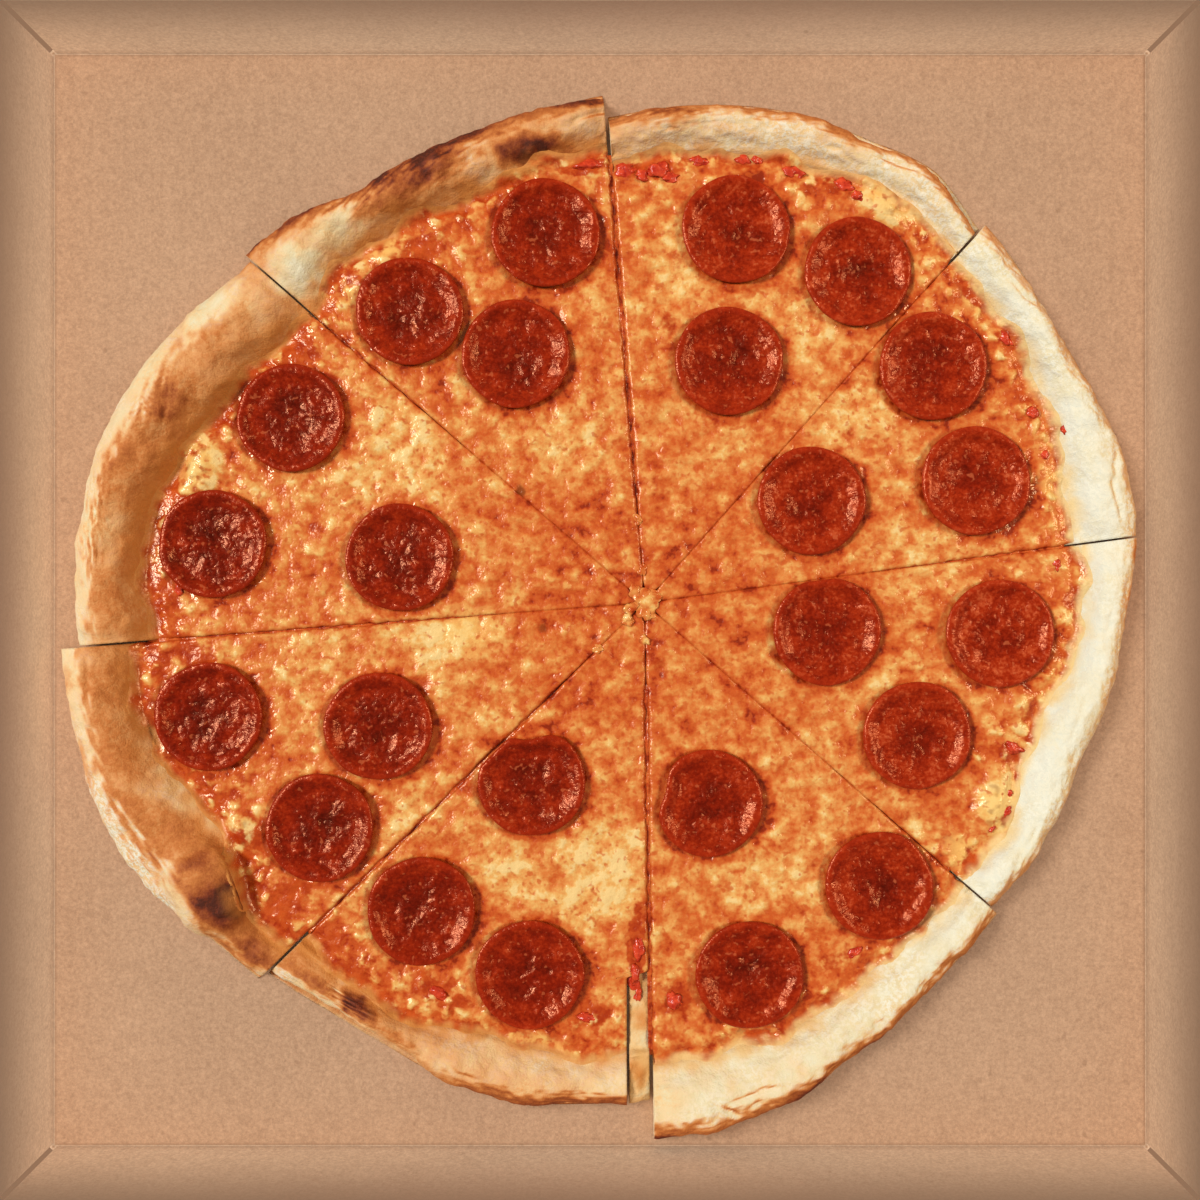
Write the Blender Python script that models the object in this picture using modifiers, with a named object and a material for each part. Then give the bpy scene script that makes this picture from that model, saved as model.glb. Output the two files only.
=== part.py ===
"""A pepperoni pizza, cut in eight, lying in its open corrugated board box with a hinged lid.

Metres, +Z up. The origin is the middle of the box's underside, and the lid's hinge is at +Y. The box is one
folded sheet: the tray stands on its floor and the lid leans back from the rear wall. The slices lie on the
tray's floor, each with its own cheese and pepperoni.
"""

import math

import bmesh
import bpy
from mathutils import Matrix, Vector

MM = 0.001

# The box.
BOARD = 3.0 * MM  # B-flute corrugated board
FLOOR_INSIDE = 410.0 * MM  # the tray's floor between its walls, both ways
WALL_TOP = 51.0 * MM
CORNER_SLIT = 1.7 * MM  # the gap where two walls meet, measured along them
TAB_LENGTH = 42.0 * MM  # the front and rear walls' tabs, glued to the outside of the side walls
TAB_INSET = 2.5 * MM  # how far a tab stays from the wall's top and bottom
LID_SIDE_PLAY = 1.0 * MM  # between a side wall and the lid's side flap inside it
LID_FRONT_PLAY = 2.0 * MM  # the front flap swings down on an arc, so it needs more
LID_DEPTH = 30.0 * MM  # from the lid's top to its flaps' edges
LID_TAB_LENGTH = 34.0 * MM
LID_OPEN_DEG = 120.0  # how far the lid stands open at rest
HINGE_PLAY = 0.3 * MM
REAR_START = 6.0 * MM  # the side flaps begin this far from the hinge
REAR_TAPER = 8.0 * MM  # and their rear ends slope by this much

# The pizza.
REST_GAP = 0.3 * MM  # between a piece and what it lies on
PIZZA_CENTRE = Vector((16.6 * MM, -1.1 * MM, 0.0))  # where the cuts cross
DOUGH = 4.0 * MM
CHEESE = 2.2 * MM
CHEESE_EDGE = 0.8 * MM
RIM_FOOT = 3.0 * MM  # the cheese's last stretch, which climbs the foot of the rim
RIM_SLOPE = 0.8  # the rise of that foot
MIDDLE_RING = 0.55  # a ring of points at this share of the way out keeps the long faces even
LOFT_STEPS = 12  # from a slice's one cut to its other
# The raised rim's section from its underside over its top: the share of its width in from the outside, and
# the share of its height.
RIM_SHAPE = ((0.34, 0.0), (0.10, 0.14), (0.0, 0.42), (0.09, 0.78), (0.36, 1.0), (0.66, 0.90))
RIM_SHOULDER = (0.12, 0.62)  # its inner edge: the share of its width out from the cheese, and of its height
PEPPERONI_RADIUS = 20.2 * MM
PEPPERONI_BASE = 1.1 * MM
PEPPERONI_LIP = 2.3 * MM
PEPPERONI_SIDES = 20
SLIVER_SLICE = 6  # a second, short cut beside this slice's last one leaves a sliver of its rim
SLIVER_LEFT = 9.9 * MM
SLIVER_CUT = 1.0 * MM
SLIVER_TOP = -139.0 * MM

# Each slice, anticlockwise from the right: the directions of its two cuts in degrees, the half gaps along
# them, the radius of the rim and of the cheese's edge at seven even steps from cut to cut, the rim's height
# at its start, middle and end, and its pepperoni as (direction, radius). All lengths are in millimetres.
SLICES = (
    {
        "cuts": (7.7, 48.1),
        "half_gaps": (0.35, 0.5),
        "rim": (184, 184.5, 184.5, 183, 182.5, 185.5, 188.5),
        "cheese": (161.5, 162, 164, 166.5, 168, 170, 171),
        "heights": (13, 13, 12),
        "pepperoni": ((39.4, 137.5), (20.3, 130), (31.5, 72)),
    },
    {
        "cuts": (48.1, 94.5),
        "half_gaps": (0.5, 0.7),
        "rim": (184.5, 192, 190, 190, 187.5, 184, 180),
        "cheese": (173, 177, 175.5, 173, 171, 168, 165),
        "heights": (11, 12, 13),
        "pepperoni": ((76.3, 142), (57.3, 145.5), (70.8, 94.5)),
    },
    {
        "cuts": (94.5, 139.05),
        "half_gaps": (0.7, 0.35),
        "rim": (188.5, 186, 185.5, 185, 185.5, 191.5, 196.5),
        "cheese": (171, 167.5, 164.5, 165, 167, 169.5, 164),
        "heights": (13, 14, 15),
        "pepperoni": ((105.0, 141.5), (128.9, 138.5), (117.4, 103.5)),
    },
    {
        "cuts": (139.05, 184.4),
        "half_gaps": (0.35, 0.35),
        "rim": (193.5, 198.5, 204, 208.5, 210.5, 211, 209.5),
        "cheese": (164.5, 168.5, 172.5, 180, 186, 186, 183),
        "heights": (16, 18, 17),
        "pepperoni": ((152.4, 147.5), (172.2, 161), (169.5, 92)),
    },
    {
        "cuts": (184.4, 224.4),
        "half_gaps": (0.4, 0.5),
        "rim": (216.5, 216.5, 216.5, 215.5, 211, 203, 198.5),
        "cheese": (189.5, 191.5, 189.5, 181, 178.5, 185, 184),
        "heights": (16, 14, 9),
        "pepperoni": ((194.6, 166.5), (204.8, 108.5), (214.6, 146)),
    },
    {
        "cuts": (224.4, 270.8),
        "half_gaps": (0.5, 0.7),
        "rim": (194.5, 190, 188, 191.5, 191.5, 187, 185),
        "cheese": (179.5, 177.5, 178, 172.5, 171, 170, 166.5),
        "heights": (9, 12, 11),
        "pepperoni": ((237.6, 78), (234.0, 140.5), (252.8, 143.5)),
    },
    {
        "cuts": (270.8, 318.7),
        "half_gaps": (0.7, 0.35),
        "rim": (199, 196, 191, 184.5, 180.5, 176.5, 174),
        "cheese": (172, 170, 168.5, 165, 160.5, 159, 159),
        "heights": (13, 13, 12),
        "pepperoni": ((287.6, 77.5), (309.6, 135.5), (285.7, 142.5)),
    },
    {
        "cuts": (318.7, 367.7),
        "half_gaps": (0.35, 0.35),
        "rim": (171, 172, 172, 172.5, 176, 178.5, 184),
        "cheese": (154.5, 158.5, 153.5, 152.5, 159, 162, 163),
        "heights": (12, 13, 13),
        "pepperoni": ((351.2, 68), (355.1, 131.5), (334.0, 111.5)),
    },
)

# Worked out from the sizes above.
INNER_HALF = FLOOR_INSIDE / 2
OUTER_HALF = INNER_HALF + BOARD
REAR_WALL_TOP = WALL_TOP - BOARD  # one board lower, because the lid's panel folds over it
HINGE = Vector((0.0, OUTER_HALF, REAR_WALL_TOP + HINGE_PLAY / 2))
DOUGH_BOTTOM = BOARD + REST_GAP
DOUGH_TOP = DOUGH_BOTTOM + DOUGH
CHEESE_TOP = DOUGH_TOP + REST_GAP + CHEESE
FOOT_RISE = RIM_FOOT * RIM_SLOPE


def clear_scene():
    for thing in list(bpy.data.objects):
        bpy.data.objects.remove(thing, do_unlink=True)


def new_collection(name):
    made = bpy.data.collections.new(name)
    bpy.context.scene.collection.children.link(made)
    return made


def new_material(name, colour, roughness):
    made = bpy.data.materials.new(name)
    made.use_nodes = True
    shader = made.node_tree.nodes["Principled BSDF"]
    shader.inputs["Base Color"].default_value = (*colour, 1.0)
    shader.inputs["Roughness"].default_value = roughness
    shader.inputs["Metallic"].default_value = 0.0
    return made


def new_mesh(name, form, material=None):
    mesh = bpy.data.meshes.new(name)
    form.to_mesh(mesh)
    form.free()
    if material is not None:
        mesh.materials.append(material)
    return mesh


def new_object(name, mesh, collection):
    made = bpy.data.objects.new(name, mesh)
    collection.objects.link(made)
    return made


def box_form(corner, opposite):
    """A closed box between any two opposite corners."""
    low = Vector(map(min, corner, opposite))
    high = Vector(map(max, corner, opposite))
    form = bmesh.new()
    place = Matrix.Translation((low + high) / 2) @ Matrix.Diagonal((*(high - low), 1.0))
    bmesh.ops.create_cube(form, size=1.0, matrix=place)
    return form


def remove_sides(form, *directions):
    """Opens a box form on the sides that look along the given directions."""
    form.normal_update()
    faces = [face for face in form.faces if any(face.normal.dot(Vector(d)) > 0.9 for d in directions)]
    bmesh.ops.delete(form, geom=faces, context="FACES_ONLY")


def cutter(name, form, tools):
    """An object that only cuts or joins another, hidden from a render."""
    made = new_object(name, new_mesh(name, form), tools)
    made.hide_render = True
    made.display_type = "WIRE"
    return made


def combine(target, tool, operation):
    step = target.modifiers.new(f"{operation.lower()}_{tool.name}", "BOOLEAN")
    step.operation = operation
    step.object = tool
    step.solver = "EXACT"


def fold_board(name, form, collection, material, offset):
    """An open surface given the board's thickness, on its outside (offset 1) or its inside (offset -1)."""
    made = new_object(name, new_mesh(name, form, material), collection)
    board = made.modifiers.new("board", "SOLIDIFY")
    board.thickness = BOARD
    board.offset = offset
    board.use_even_offset = True
    return made


def make_tray(parts, tools, material):
    """The floor and the four walls folded up from it, slit at the corners, with a glued tab behind each."""
    form = box_form((-INNER_HALF, -INNER_HALF, BOARD), (INNER_HALF, INNER_HALF, WALL_TOP))
    remove_sides(form, (0, 0, 1))
    tray = fold_board("tray", form, parts, material, 1.0)

    for side, side_name in ((-1, "left"), (1, "right")):
        for end, end_name in ((-1, "front"), (1, "rear")):
            tab = box_form(
                (side * (OUTER_HALF - BOARD / 4), end * OUTER_HALF, TAB_INSET),
                (side * (OUTER_HALF + BOARD), end * (OUTER_HALF - TAB_LENGTH), REAR_WALL_TOP - TAB_INSET),
            )
            combine(tray, cutter(f"tab_{side_name}_{end_name}", tab, tools), "UNION")
            slit = box_form(
                (-CORNER_SLIT, -CORNER_SLIT / 2, 0.0), (CORNER_SLIT, CORNER_SLIT / 2, 2 * WALL_TOP)
            )
            turn = Matrix.Rotation(math.atan2(end, side), 4, "Z")
            place = Matrix.Translation((side * INNER_HALF, end * INNER_HALF, DOUGH_BOTTOM))
            bmesh.ops.transform(slit, matrix=place @ turn, verts=slit.verts)
            combine(tray, cutter(f"slit_{side_name}_{end_name}", slit, tools), "DIFFERENCE")

    notch = box_form(
        (-INNER_HALF, INNER_HALF - BOARD, REAR_WALL_TOP), (INNER_HALF, OUTER_HALF + BOARD, WALL_TOP + BOARD)
    )
    combine(tray, cutter("rear_wall_notch", notch, tools), "DIFFERENCE")


def make_lid(parts, tools, material):
    """The lid's panel with its side flaps and front flap, made shut and then turned open on its hinge."""
    hinge = new_object("lid_hinge", None, parts)
    half_width = INNER_HALF - LID_SIDE_PLAY
    front = -INNER_HALF + LID_FRONT_PLAY - HINGE.y
    rear = -HINGE_PLAY
    under = HINGE_PLAY / 2
    top = under + BOARD
    form = box_form((-half_width, front, top - LID_DEPTH), (half_width, rear, top))
    remove_sides(form, (0, 0, -1), (0, 1, 0))
    for corner in form.verts:
        if corner.co.y > rear - MM and corner.co.z < 0.0:
            corner.co.y = rear - REAR_START - REAR_TAPER
    lid = fold_board("lid", form, parts, material, -1.0)

    # The side flaps stop short of the rear wall, so only the panel runs on to the hinge.
    notch = box_form(
        (-half_width - BOARD, rear - REAR_START, -LID_DEPTH), (half_width + BOARD, rear + BOARD, under)
    )
    rear_notch = cutter("lid_rear_notch", notch, tools)
    combine(lid, rear_notch, "DIFFERENCE")
    rear_notch.parent = hinge
    for side, side_name in ((-1, "left"), (1, "right")):
        block = box_form(
            (side * (half_width - BOARD / 2), front + BOARD / 2, top - LID_DEPTH + TAB_INSET),
            (side * (half_width - 2 * BOARD), front + BOARD + LID_TAB_LENGTH, under - TAB_INSET),
        )
        tab = cutter(f"lid_tab_{side_name}", block, tools)
        combine(lid, tab, "UNION")
        tab.parent = hinge

    lid.parent = hinge
    hinge.location = HINGE
    hinge.rotation_euler.x = -math.radians(LID_OPEN_DEG)


def smooth_value(values, share):
    """The value at a share from 0 to 1 along evenly spaced values, on a Catmull-Rom curve through them."""
    place = share * (len(values) - 1)
    index = min(int(place), len(values) - 2)
    t = place - index
    here, following = values[index], values[index + 1]
    before = values[max(index - 1, 0)]
    after = values[min(index + 2, len(values) - 1)]
    return 0.5 * (
        2 * here
        + (following - before) * t
        + (2 * before - 5 * here + 4 * following - after) * t**2
        + (3 * here - before - 3 * following + after) * t**3
    )


def direction(degrees):
    return Vector((math.cos(math.radians(degrees)), math.sin(math.radians(degrees)), 0.0))


def left_of(along):
    return Vector((-along.y, along.x, 0.0))


def slice_tip(facts):
    """Where a slice's two cut faces meet, each half a gap inside its cut's line through the centre."""
    first, last = (direction(angle) for angle in facts["cuts"])
    near, far = (gap * MM for gap in facts["half_gaps"])
    opening = first.cross(last).z
    return PIZZA_CENTRE + (first * far + last * near) / opening


def crust_section(rim, cheese, height):
    """The dough's section as (distance from the tip, height): thin under the cheese, then the raised rim."""
    width = rim - cheese
    foot_top = DOUGH_TOP + FOOT_RISE
    out, up = RIM_SHOULDER
    return (
        (0.0, DOUGH_BOTTOM),
        *((rim - across * width, DOUGH_BOTTOM + rise * height) for across, rise in RIM_SHAPE),
        (cheese + out * width, max(foot_top, DOUGH_BOTTOM + up * height)),
        (cheese, foot_top),
        (cheese - RIM_FOOT, DOUGH_TOP),
        (MIDDLE_RING * cheese, DOUGH_TOP),
        (0.0, DOUGH_TOP),
    )


def cheese_section(cheese):
    """The cheese's section: one layer that climbs the foot of the rim and thins out there."""
    bottom = DOUGH_TOP + REST_GAP
    lift = REST_GAP * RIM_SLOPE
    return (
        (0.0, bottom),
        (MIDDLE_RING * cheese, bottom),
        (cheese - RIM_FOOT, bottom + lift),
        (cheese - REST_GAP, bottom + lift + FOOT_RISE),
        (cheese - REST_GAP, bottom + FOOT_RISE + CHEESE_EDGE),
        (cheese - RIM_FOOT, CHEESE_TOP),
        (MIDDLE_RING * cheese, CHEESE_TOP),
        (0.0, CHEESE_TOP),
    )


def loft(name, sections, collection, material):
    """A closed solid through sections that all hold the same number of points in the same order."""
    form = bmesh.new()
    rings = [[form.verts.new(point) for point in section] for section in sections]
    for near, far in zip(rings, rings[1:]):
        for index in range(len(near)):
            following = (index + 1) % len(near)
            form.faces.new((near[index], near[following], far[following], far[index]))
    form.faces.new(rings[0][::-1])
    form.faces.new(rings[-1])
    bmesh.ops.remove_doubles(form, verts=form.verts, dist=MM / 1000)
    bmesh.ops.recalc_face_normals(form, faces=form.faces)
    return new_object(name, new_mesh(name, form, material), collection)


def make_slice(number, facts, parts, dough, cheese):
    """One slice's dough and its cheese, lofted from cut to cut round its tip."""
    tip = slice_tip(facts)
    start, stop = facts["cuts"]
    dough_sections, cheese_sections = [], []
    for step in range(LOFT_STEPS + 1):
        share = step / LOFT_STEPS
        along = direction(start + (stop - start) * share)
        from_centre = (tip - PIZZA_CENTRE).dot(along)
        rim_reach = smooth_value(facts["rim"], share) * MM - from_centre
        cheese_reach = smooth_value(facts["cheese"], share) * MM - from_centre
        height = smooth_value(facts["heights"], share) * MM
        for sections, section in (
            (dough_sections, crust_section(rim_reach, cheese_reach, height)),
            (cheese_sections, cheese_section(cheese_reach)),
        ):
            sections.append([tip + along * reach + Vector((0.0, 0.0, z)) for reach, z in section])
    return (
        loft(f"slice_{number}_crust", dough_sections, parts, dough),
        loft(f"slice_{number}_cheese", cheese_sections, parts, cheese),
    )


def cut_sliver(pieces, tools):
    """The short second cut through the rim beside the lowest cut."""
    blade = box_form((SLIVER_LEFT, -INNER_HALF, 0.0), (SLIVER_LEFT + SLIVER_CUT, SLIVER_TOP, REAR_WALL_TOP))
    tool = cutter("sliver_cut", blade, tools)
    for piece in pieces:
        combine(piece, tool, "DIFFERENCE")


def pepperoni_mesh(material):
    """The profile of a cupped disc, from the top of its middle over its lip to its underside."""
    radius = PEPPERONI_RADIUS
    profile = (
        (0.0, PEPPERONI_BASE),
        (0.55 * radius, 1.1 * PEPPERONI_BASE),
        (0.86 * radius, 0.92 * PEPPERONI_LIP),
        (0.95 * radius, PEPPERONI_LIP),
        (radius, 0.7 * PEPPERONI_LIP),
        (0.93 * radius, 0.0),
        (0.0, 0.0),
    )
    form = bmesh.new()
    points = [form.verts.new((x, 0.0, z)) for x, z in profile]
    for near, far in zip(points, points[1:]):
        form.edges.new((near, far))
    return new_mesh("pepperoni", form, material)


def beyond_cut(name, tip, along, inward, tools):
    """A block over everything past a slice's cut face, less a hair so that a trimmed disc stays inside it."""
    far = 2 * INNER_HALF
    block = box_form((0.0, 0.0, 0.0), (far, far, WALL_TOP))
    frame = Matrix((along, -inward, (0.0, 0.0, 1.0))).transposed().to_4x4()
    place = Matrix.Translation(tip + inward * REST_GAP / 3) @ frame
    bmesh.ops.transform(block, matrix=place, verts=block.verts)
    bmesh.ops.recalc_face_normals(block, faces=block.faces)
    return cutter(name, block, tools)


def make_pepperoni(name, place, facts, mesh, parts, tools):
    """One disc on the cheese. Where it would reach over a cut, it is trimmed at the cut face."""
    disc = new_object(name, mesh, parts)
    disc.location = (place.x, place.y, CHEESE_TOP + REST_GAP)
    turned = disc.modifiers.new("turned", "SCREW")
    turned.steps = turned.render_steps = PEPPERONI_SIDES
    turned.use_merge_vertices = True
    turned.merge_threshold = MM / 100
    turned.use_normal_calculate = True
    tip = slice_tip(facts)
    for turn, angle in zip((1, -1), facts["cuts"]):
        along = direction(angle)
        inward = turn * left_of(along)
        if (place - tip).dot(inward) < PEPPERONI_RADIUS + REST_GAP:
            combine(disc, beyond_cut(f"trim_{name}", tip, along, inward, tools), "DIFFERENCE")


def main():
    clear_scene()
    parts = new_collection("pizza_in_its_box")
    tools = new_collection("cutters")
    kraft = new_material("kraft_board", (0.55, 0.34, 0.19), 0.85)
    dough = new_material("baked_dough", (0.80, 0.58, 0.32), 0.75)
    cheese = new_material("melted_cheese", (0.76, 0.33, 0.08), 0.45)
    meat = new_material("pepperoni_meat", (0.34, 0.035, 0.010), 0.35)
    make_tray(parts, tools, kraft)
    make_lid(parts, tools, kraft)

    disc_mesh = pepperoni_mesh(meat)
    discs = 0
    for number, facts in enumerate(SLICES, start=1):
        pieces = make_slice(number, facts, parts, dough, cheese)
        if number == SLIVER_SLICE:
            cut_sliver(pieces, tools)
        for angle, distance in facts["pepperoni"]:
            discs += 1
            place = PIZZA_CENTRE + direction(angle) * distance * MM
            make_pepperoni(f"pepperoni_{discs:02d}", place, facts, disc_mesh, parts, tools)


main()
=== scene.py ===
"""The looks of a pepperoni pizza, cut in eight, in its open corrugated board box.

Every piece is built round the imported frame, in metres, +Z up. The pizza's own sizes are read off its CAD
nodes: each slice's cuts, rim and cheese. Named spots, blisters and patches are given as a direction in
degrees and a distance in millimetres from the point where the cuts cross.
"""

import math
from itertools import product

import bmesh
import bpy
import numpy as np
from mathutils import Matrix, Vector
from mathutils.bvhtree import BVHTree


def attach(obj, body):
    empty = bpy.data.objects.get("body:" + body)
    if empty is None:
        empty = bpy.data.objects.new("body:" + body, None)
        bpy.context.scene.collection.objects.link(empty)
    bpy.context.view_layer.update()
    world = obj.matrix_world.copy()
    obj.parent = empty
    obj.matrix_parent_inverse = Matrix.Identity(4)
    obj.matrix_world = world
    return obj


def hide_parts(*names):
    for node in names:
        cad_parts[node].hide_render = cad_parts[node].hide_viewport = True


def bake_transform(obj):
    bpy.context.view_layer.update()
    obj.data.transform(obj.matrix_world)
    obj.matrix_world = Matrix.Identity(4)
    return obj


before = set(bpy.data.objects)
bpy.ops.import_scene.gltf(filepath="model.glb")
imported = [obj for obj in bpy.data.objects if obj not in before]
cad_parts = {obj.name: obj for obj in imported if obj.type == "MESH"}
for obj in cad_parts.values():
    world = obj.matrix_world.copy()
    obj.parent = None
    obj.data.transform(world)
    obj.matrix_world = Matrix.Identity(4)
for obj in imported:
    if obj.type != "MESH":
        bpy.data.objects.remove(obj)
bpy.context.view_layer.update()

MM = 0.001

# The pizza, as the CAD makes it.
CENTRE = np.array((16.6, -1.1)) * MM  # where the cuts cross
BOARD = 3.0 * MM
REST_GAP = 0.3 * MM  # between a piece and what it lies on
DOUGH_BOTTOM = BOARD + REST_GAP
DOUGH_TOP = DOUGH_BOTTOM + 4.0 * MM
CHEESE_DEPTH = 2.2 * MM
CHEESE_TOP = DOUGH_TOP + REST_GAP + CHEESE_DEPTH
RIM_FOOT = 3.0 * MM  # how far before the cheese's edge the dough starts to rise
FOOT_RISE = 0.8 * RIM_FOOT
# The rim's section, from the inside over the top: how far in from its outer edge, and how high, as shares
# of its width and height. Its shoulder is given from the inner edge instead.
RIM_SHAPE = ((0.66, 0.90), (0.36, 1.0), (0.09, 0.78), (0.0, 0.42), (0.10, 0.14), (0.34, 0.0))
RIM_SHOULDER = (0.12, 0.62)
SLICES = 8
SECTIONS = 13  # the CAD's sections across a slice
SECTION_REACH = 0.3  # degrees to each side of a section within which its points lie
SLIVER_SLICE = 6
SLIVER_LEFT = 9.9 * MM  # the short cut's two sides, along X
SLIVER_RIGHT = 10.9 * MM
SLIVER_START = 138.0 * MM  # how far out from the tip the short cut begins
PEPPERONI_RADIUS = 20.2 * MM
PEPPERONI_BASE = 1.1 * MM

# The box, as the CAD makes it.
INNER_HALF = 205.0 * MM
OUTER_HALF = INNER_HALF + BOARD
WALL_TOP = 51.0 * MM
REAR_WALL_TOP = 48.0 * MM
CORNER_SLIT = 1.7 * MM
TAB_LENGTH = 42.0 * MM  # the walls' end tabs
TAB_LOW = 2.5 * MM
TAB_HIGH = 45.5 * MM
HINGE = Vector((0.0, OUTER_HALF, REAR_WALL_TOP + 0.15 * MM))
LID_OPEN = math.radians(120)
LID_HALF = 204.0 * MM
LID_FRONT = -410.9 * MM  # from the hinge, with the lid shut
LID_REAR = -0.3 * MM
LID_UNDER = 0.15 * MM  # the panel's underside, above the hinge
LID_TOP = LID_UNDER + BOARD
LID_EDGE = LID_TOP - 30 * MM  # the flaps' lower edges
LINER = 0.45 * MM  # the paper on each side of the flutes
CORE = 0.3 * MM  # the fluted paper between them
CORE_HALF = BOARD / 2 - 1.4 * LINER  # how far the flutes swing to each side
FOLD = 2.5 * MM  # how round the outside of a fold is
FLUTE = 6.5 * MM  # from one flute to the next

# How finely the food is meshed.
WELD = 1e-7  # points nearer than this are one point
CRUST_STEP = 0.85 * MM
CHEESE_STEP = 0.88 * MM
SLIVER_COLUMNS = 12

# ---------------------------------------------------------------------------------------------- noise

RANDOM = np.random.default_rng(5)
SHUFFLE = RANDOM.permutation(256)
SLOPES = RANDOM.normal(size=(256, 3)) * 0.8
SCATTER = RANDOM.random((256, 3))


def ramp(value, low, high):
    """Rises smoothly from 0 at low to 1 at high."""
    share = np.clip((value - low) / (high - low), 0.0, 1.0)
    return share * share * (3 - 2 * share)


def noise(points, size, seed=0):
    """Smooth noise from about -1 to 1 at points of two or three coordinates, with lumps of that size."""
    place = points / size + 31.7 * seed
    cell = np.floor(place).astype(np.int64)
    inside = place - cell
    fade = inside**3 * (inside * (inside * 6 - 15) + 10)
    total = np.zeros(points.shape[:-1])
    for corner in product((0, 1), repeat=points.shape[-1]):
        key = np.zeros(points.shape[:-1], dtype=np.int64)
        weight = np.ones(points.shape[:-1])
        for axis, step in enumerate(corner):
            key = SHUFFLE[(key + cell[..., axis] + step) & 255]
            weight = weight * (fade[..., axis] if step else 1 - fade[..., axis])
        slope = SLOPES[key][..., : points.shape[-1]]
        total += weight * ((inside - np.array(corner)) * slope).sum(-1)
    return 1.5 * total


def rough_noise(points, size, octaves=3, seed=0):
    """Noise with finer and finer noise added, each half the size and half the height of the one before."""
    total = noise(points, size, seed)
    for octave in range(1, octaves):
        total = total + noise(points, size / 2**octave, seed + octave) / 2**octave
    return total


def layered_noise(points, *layers):
    """Noise of several sizes, added up. Each layer is a height and a size in millimetres, and a seed."""
    return sum(height * MM * noise(points, size * MM, seed) for height, size, seed in layers)


def dots(points, spacing, seed=0):
    """How far the nearest of many scattered dots is, in spacings, and that dot's own number, 0 to 1."""
    place = points / spacing + 12.3 * seed
    cell = np.floor(place).astype(np.int64)
    nearest = np.full(points.shape[:-1], 9.0)
    own = np.zeros(points.shape[:-1])
    for corner in product((-1, 0, 1), repeat=2):
        there = cell + np.array(corner)
        key = SHUFFLE[(SHUFFLE[there[..., 0] & 255] + there[..., 1]) & 255]
        distance = np.linalg.norm(place - there - SCATTER[key, :2], axis=-1)
        nearer = distance < nearest
        nearest = np.where(nearer, distance, nearest)
        own = np.where(nearer, SCATTER[key, 2], own)
    return nearest, own


# --------------------------------------------------------------------------------------------- meshes


def new_object(name, points, faces, body="tray", fields=None, materials=(), face_materials=None):
    """A mesh piece with smooth faces that rides on a body. fields are named values, one for each point."""
    mesh = bpy.data.meshes.new(name)
    mesh.from_pydata(np.asarray(points).tolist(), [], faces)
    for field, values in (fields or {}).items():
        stored = mesh.attributes.new(field, "FLOAT", "POINT")
        stored.data.foreach_set("value", np.asarray(values, dtype=np.float32).ravel())
    for material in materials:
        mesh.materials.append(material)
    if face_materials is not None:
        mesh.polygons.foreach_set("material_index", np.asarray(face_materials, dtype=np.int32))
    mesh.shade_smooth()
    made = bpy.data.objects.new(name, mesh)
    bpy.context.scene.collection.objects.link(made)
    if body:
        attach(made, body)
    return made


def tidy_mesh(piece, sharp_degrees=None):
    """Welds the points that lie together, turns the faces out, and marks sharp edges."""
    form = bmesh.new()
    form.from_mesh(piece.data)
    bmesh.ops.remove_doubles(form, verts=form.verts, dist=WELD)
    bmesh.ops.dissolve_degenerate(form, edges=form.edges, dist=WELD / 2)
    bmesh.ops.recalc_face_normals(form, faces=form.faces)
    form.to_mesh(piece.data)
    form.free()
    if sharp_degrees is not None:
        piece.data.set_sharp_from_angle(angle=math.radians(sharp_degrees))


def joined(x, y, z):
    """Points from coordinates, each of which may be one number, a row or a grid."""
    return np.stack(np.broadcast_arrays(x, y, z), axis=-1)


def grid_faces(index):
    """Quads over a two-dimensional array of point numbers."""
    corners = (index[:-1, :-1], index[1:, :-1], index[1:, 1:], index[:-1, 1:])
    return np.stack(corners, axis=-1).reshape(-1, 4).tolist()


def fan(middle, first, second):
    """Triangles from one middle point to each pair of points on a ring."""
    return np.stack((np.full(len(first), middle), first, second), axis=1).tolist()


def join_parts(parts):
    """Several (points, faces) as one."""
    faces, shift = [], 0
    for points, part_faces in parts:
        faces += [[corner + shift for corner in face] for face in part_faces]
        shift += len(points)
    return np.concatenate([points for points, _ in parts]), faces


# ------------------------------------------------------------------------------------------- materials


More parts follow.
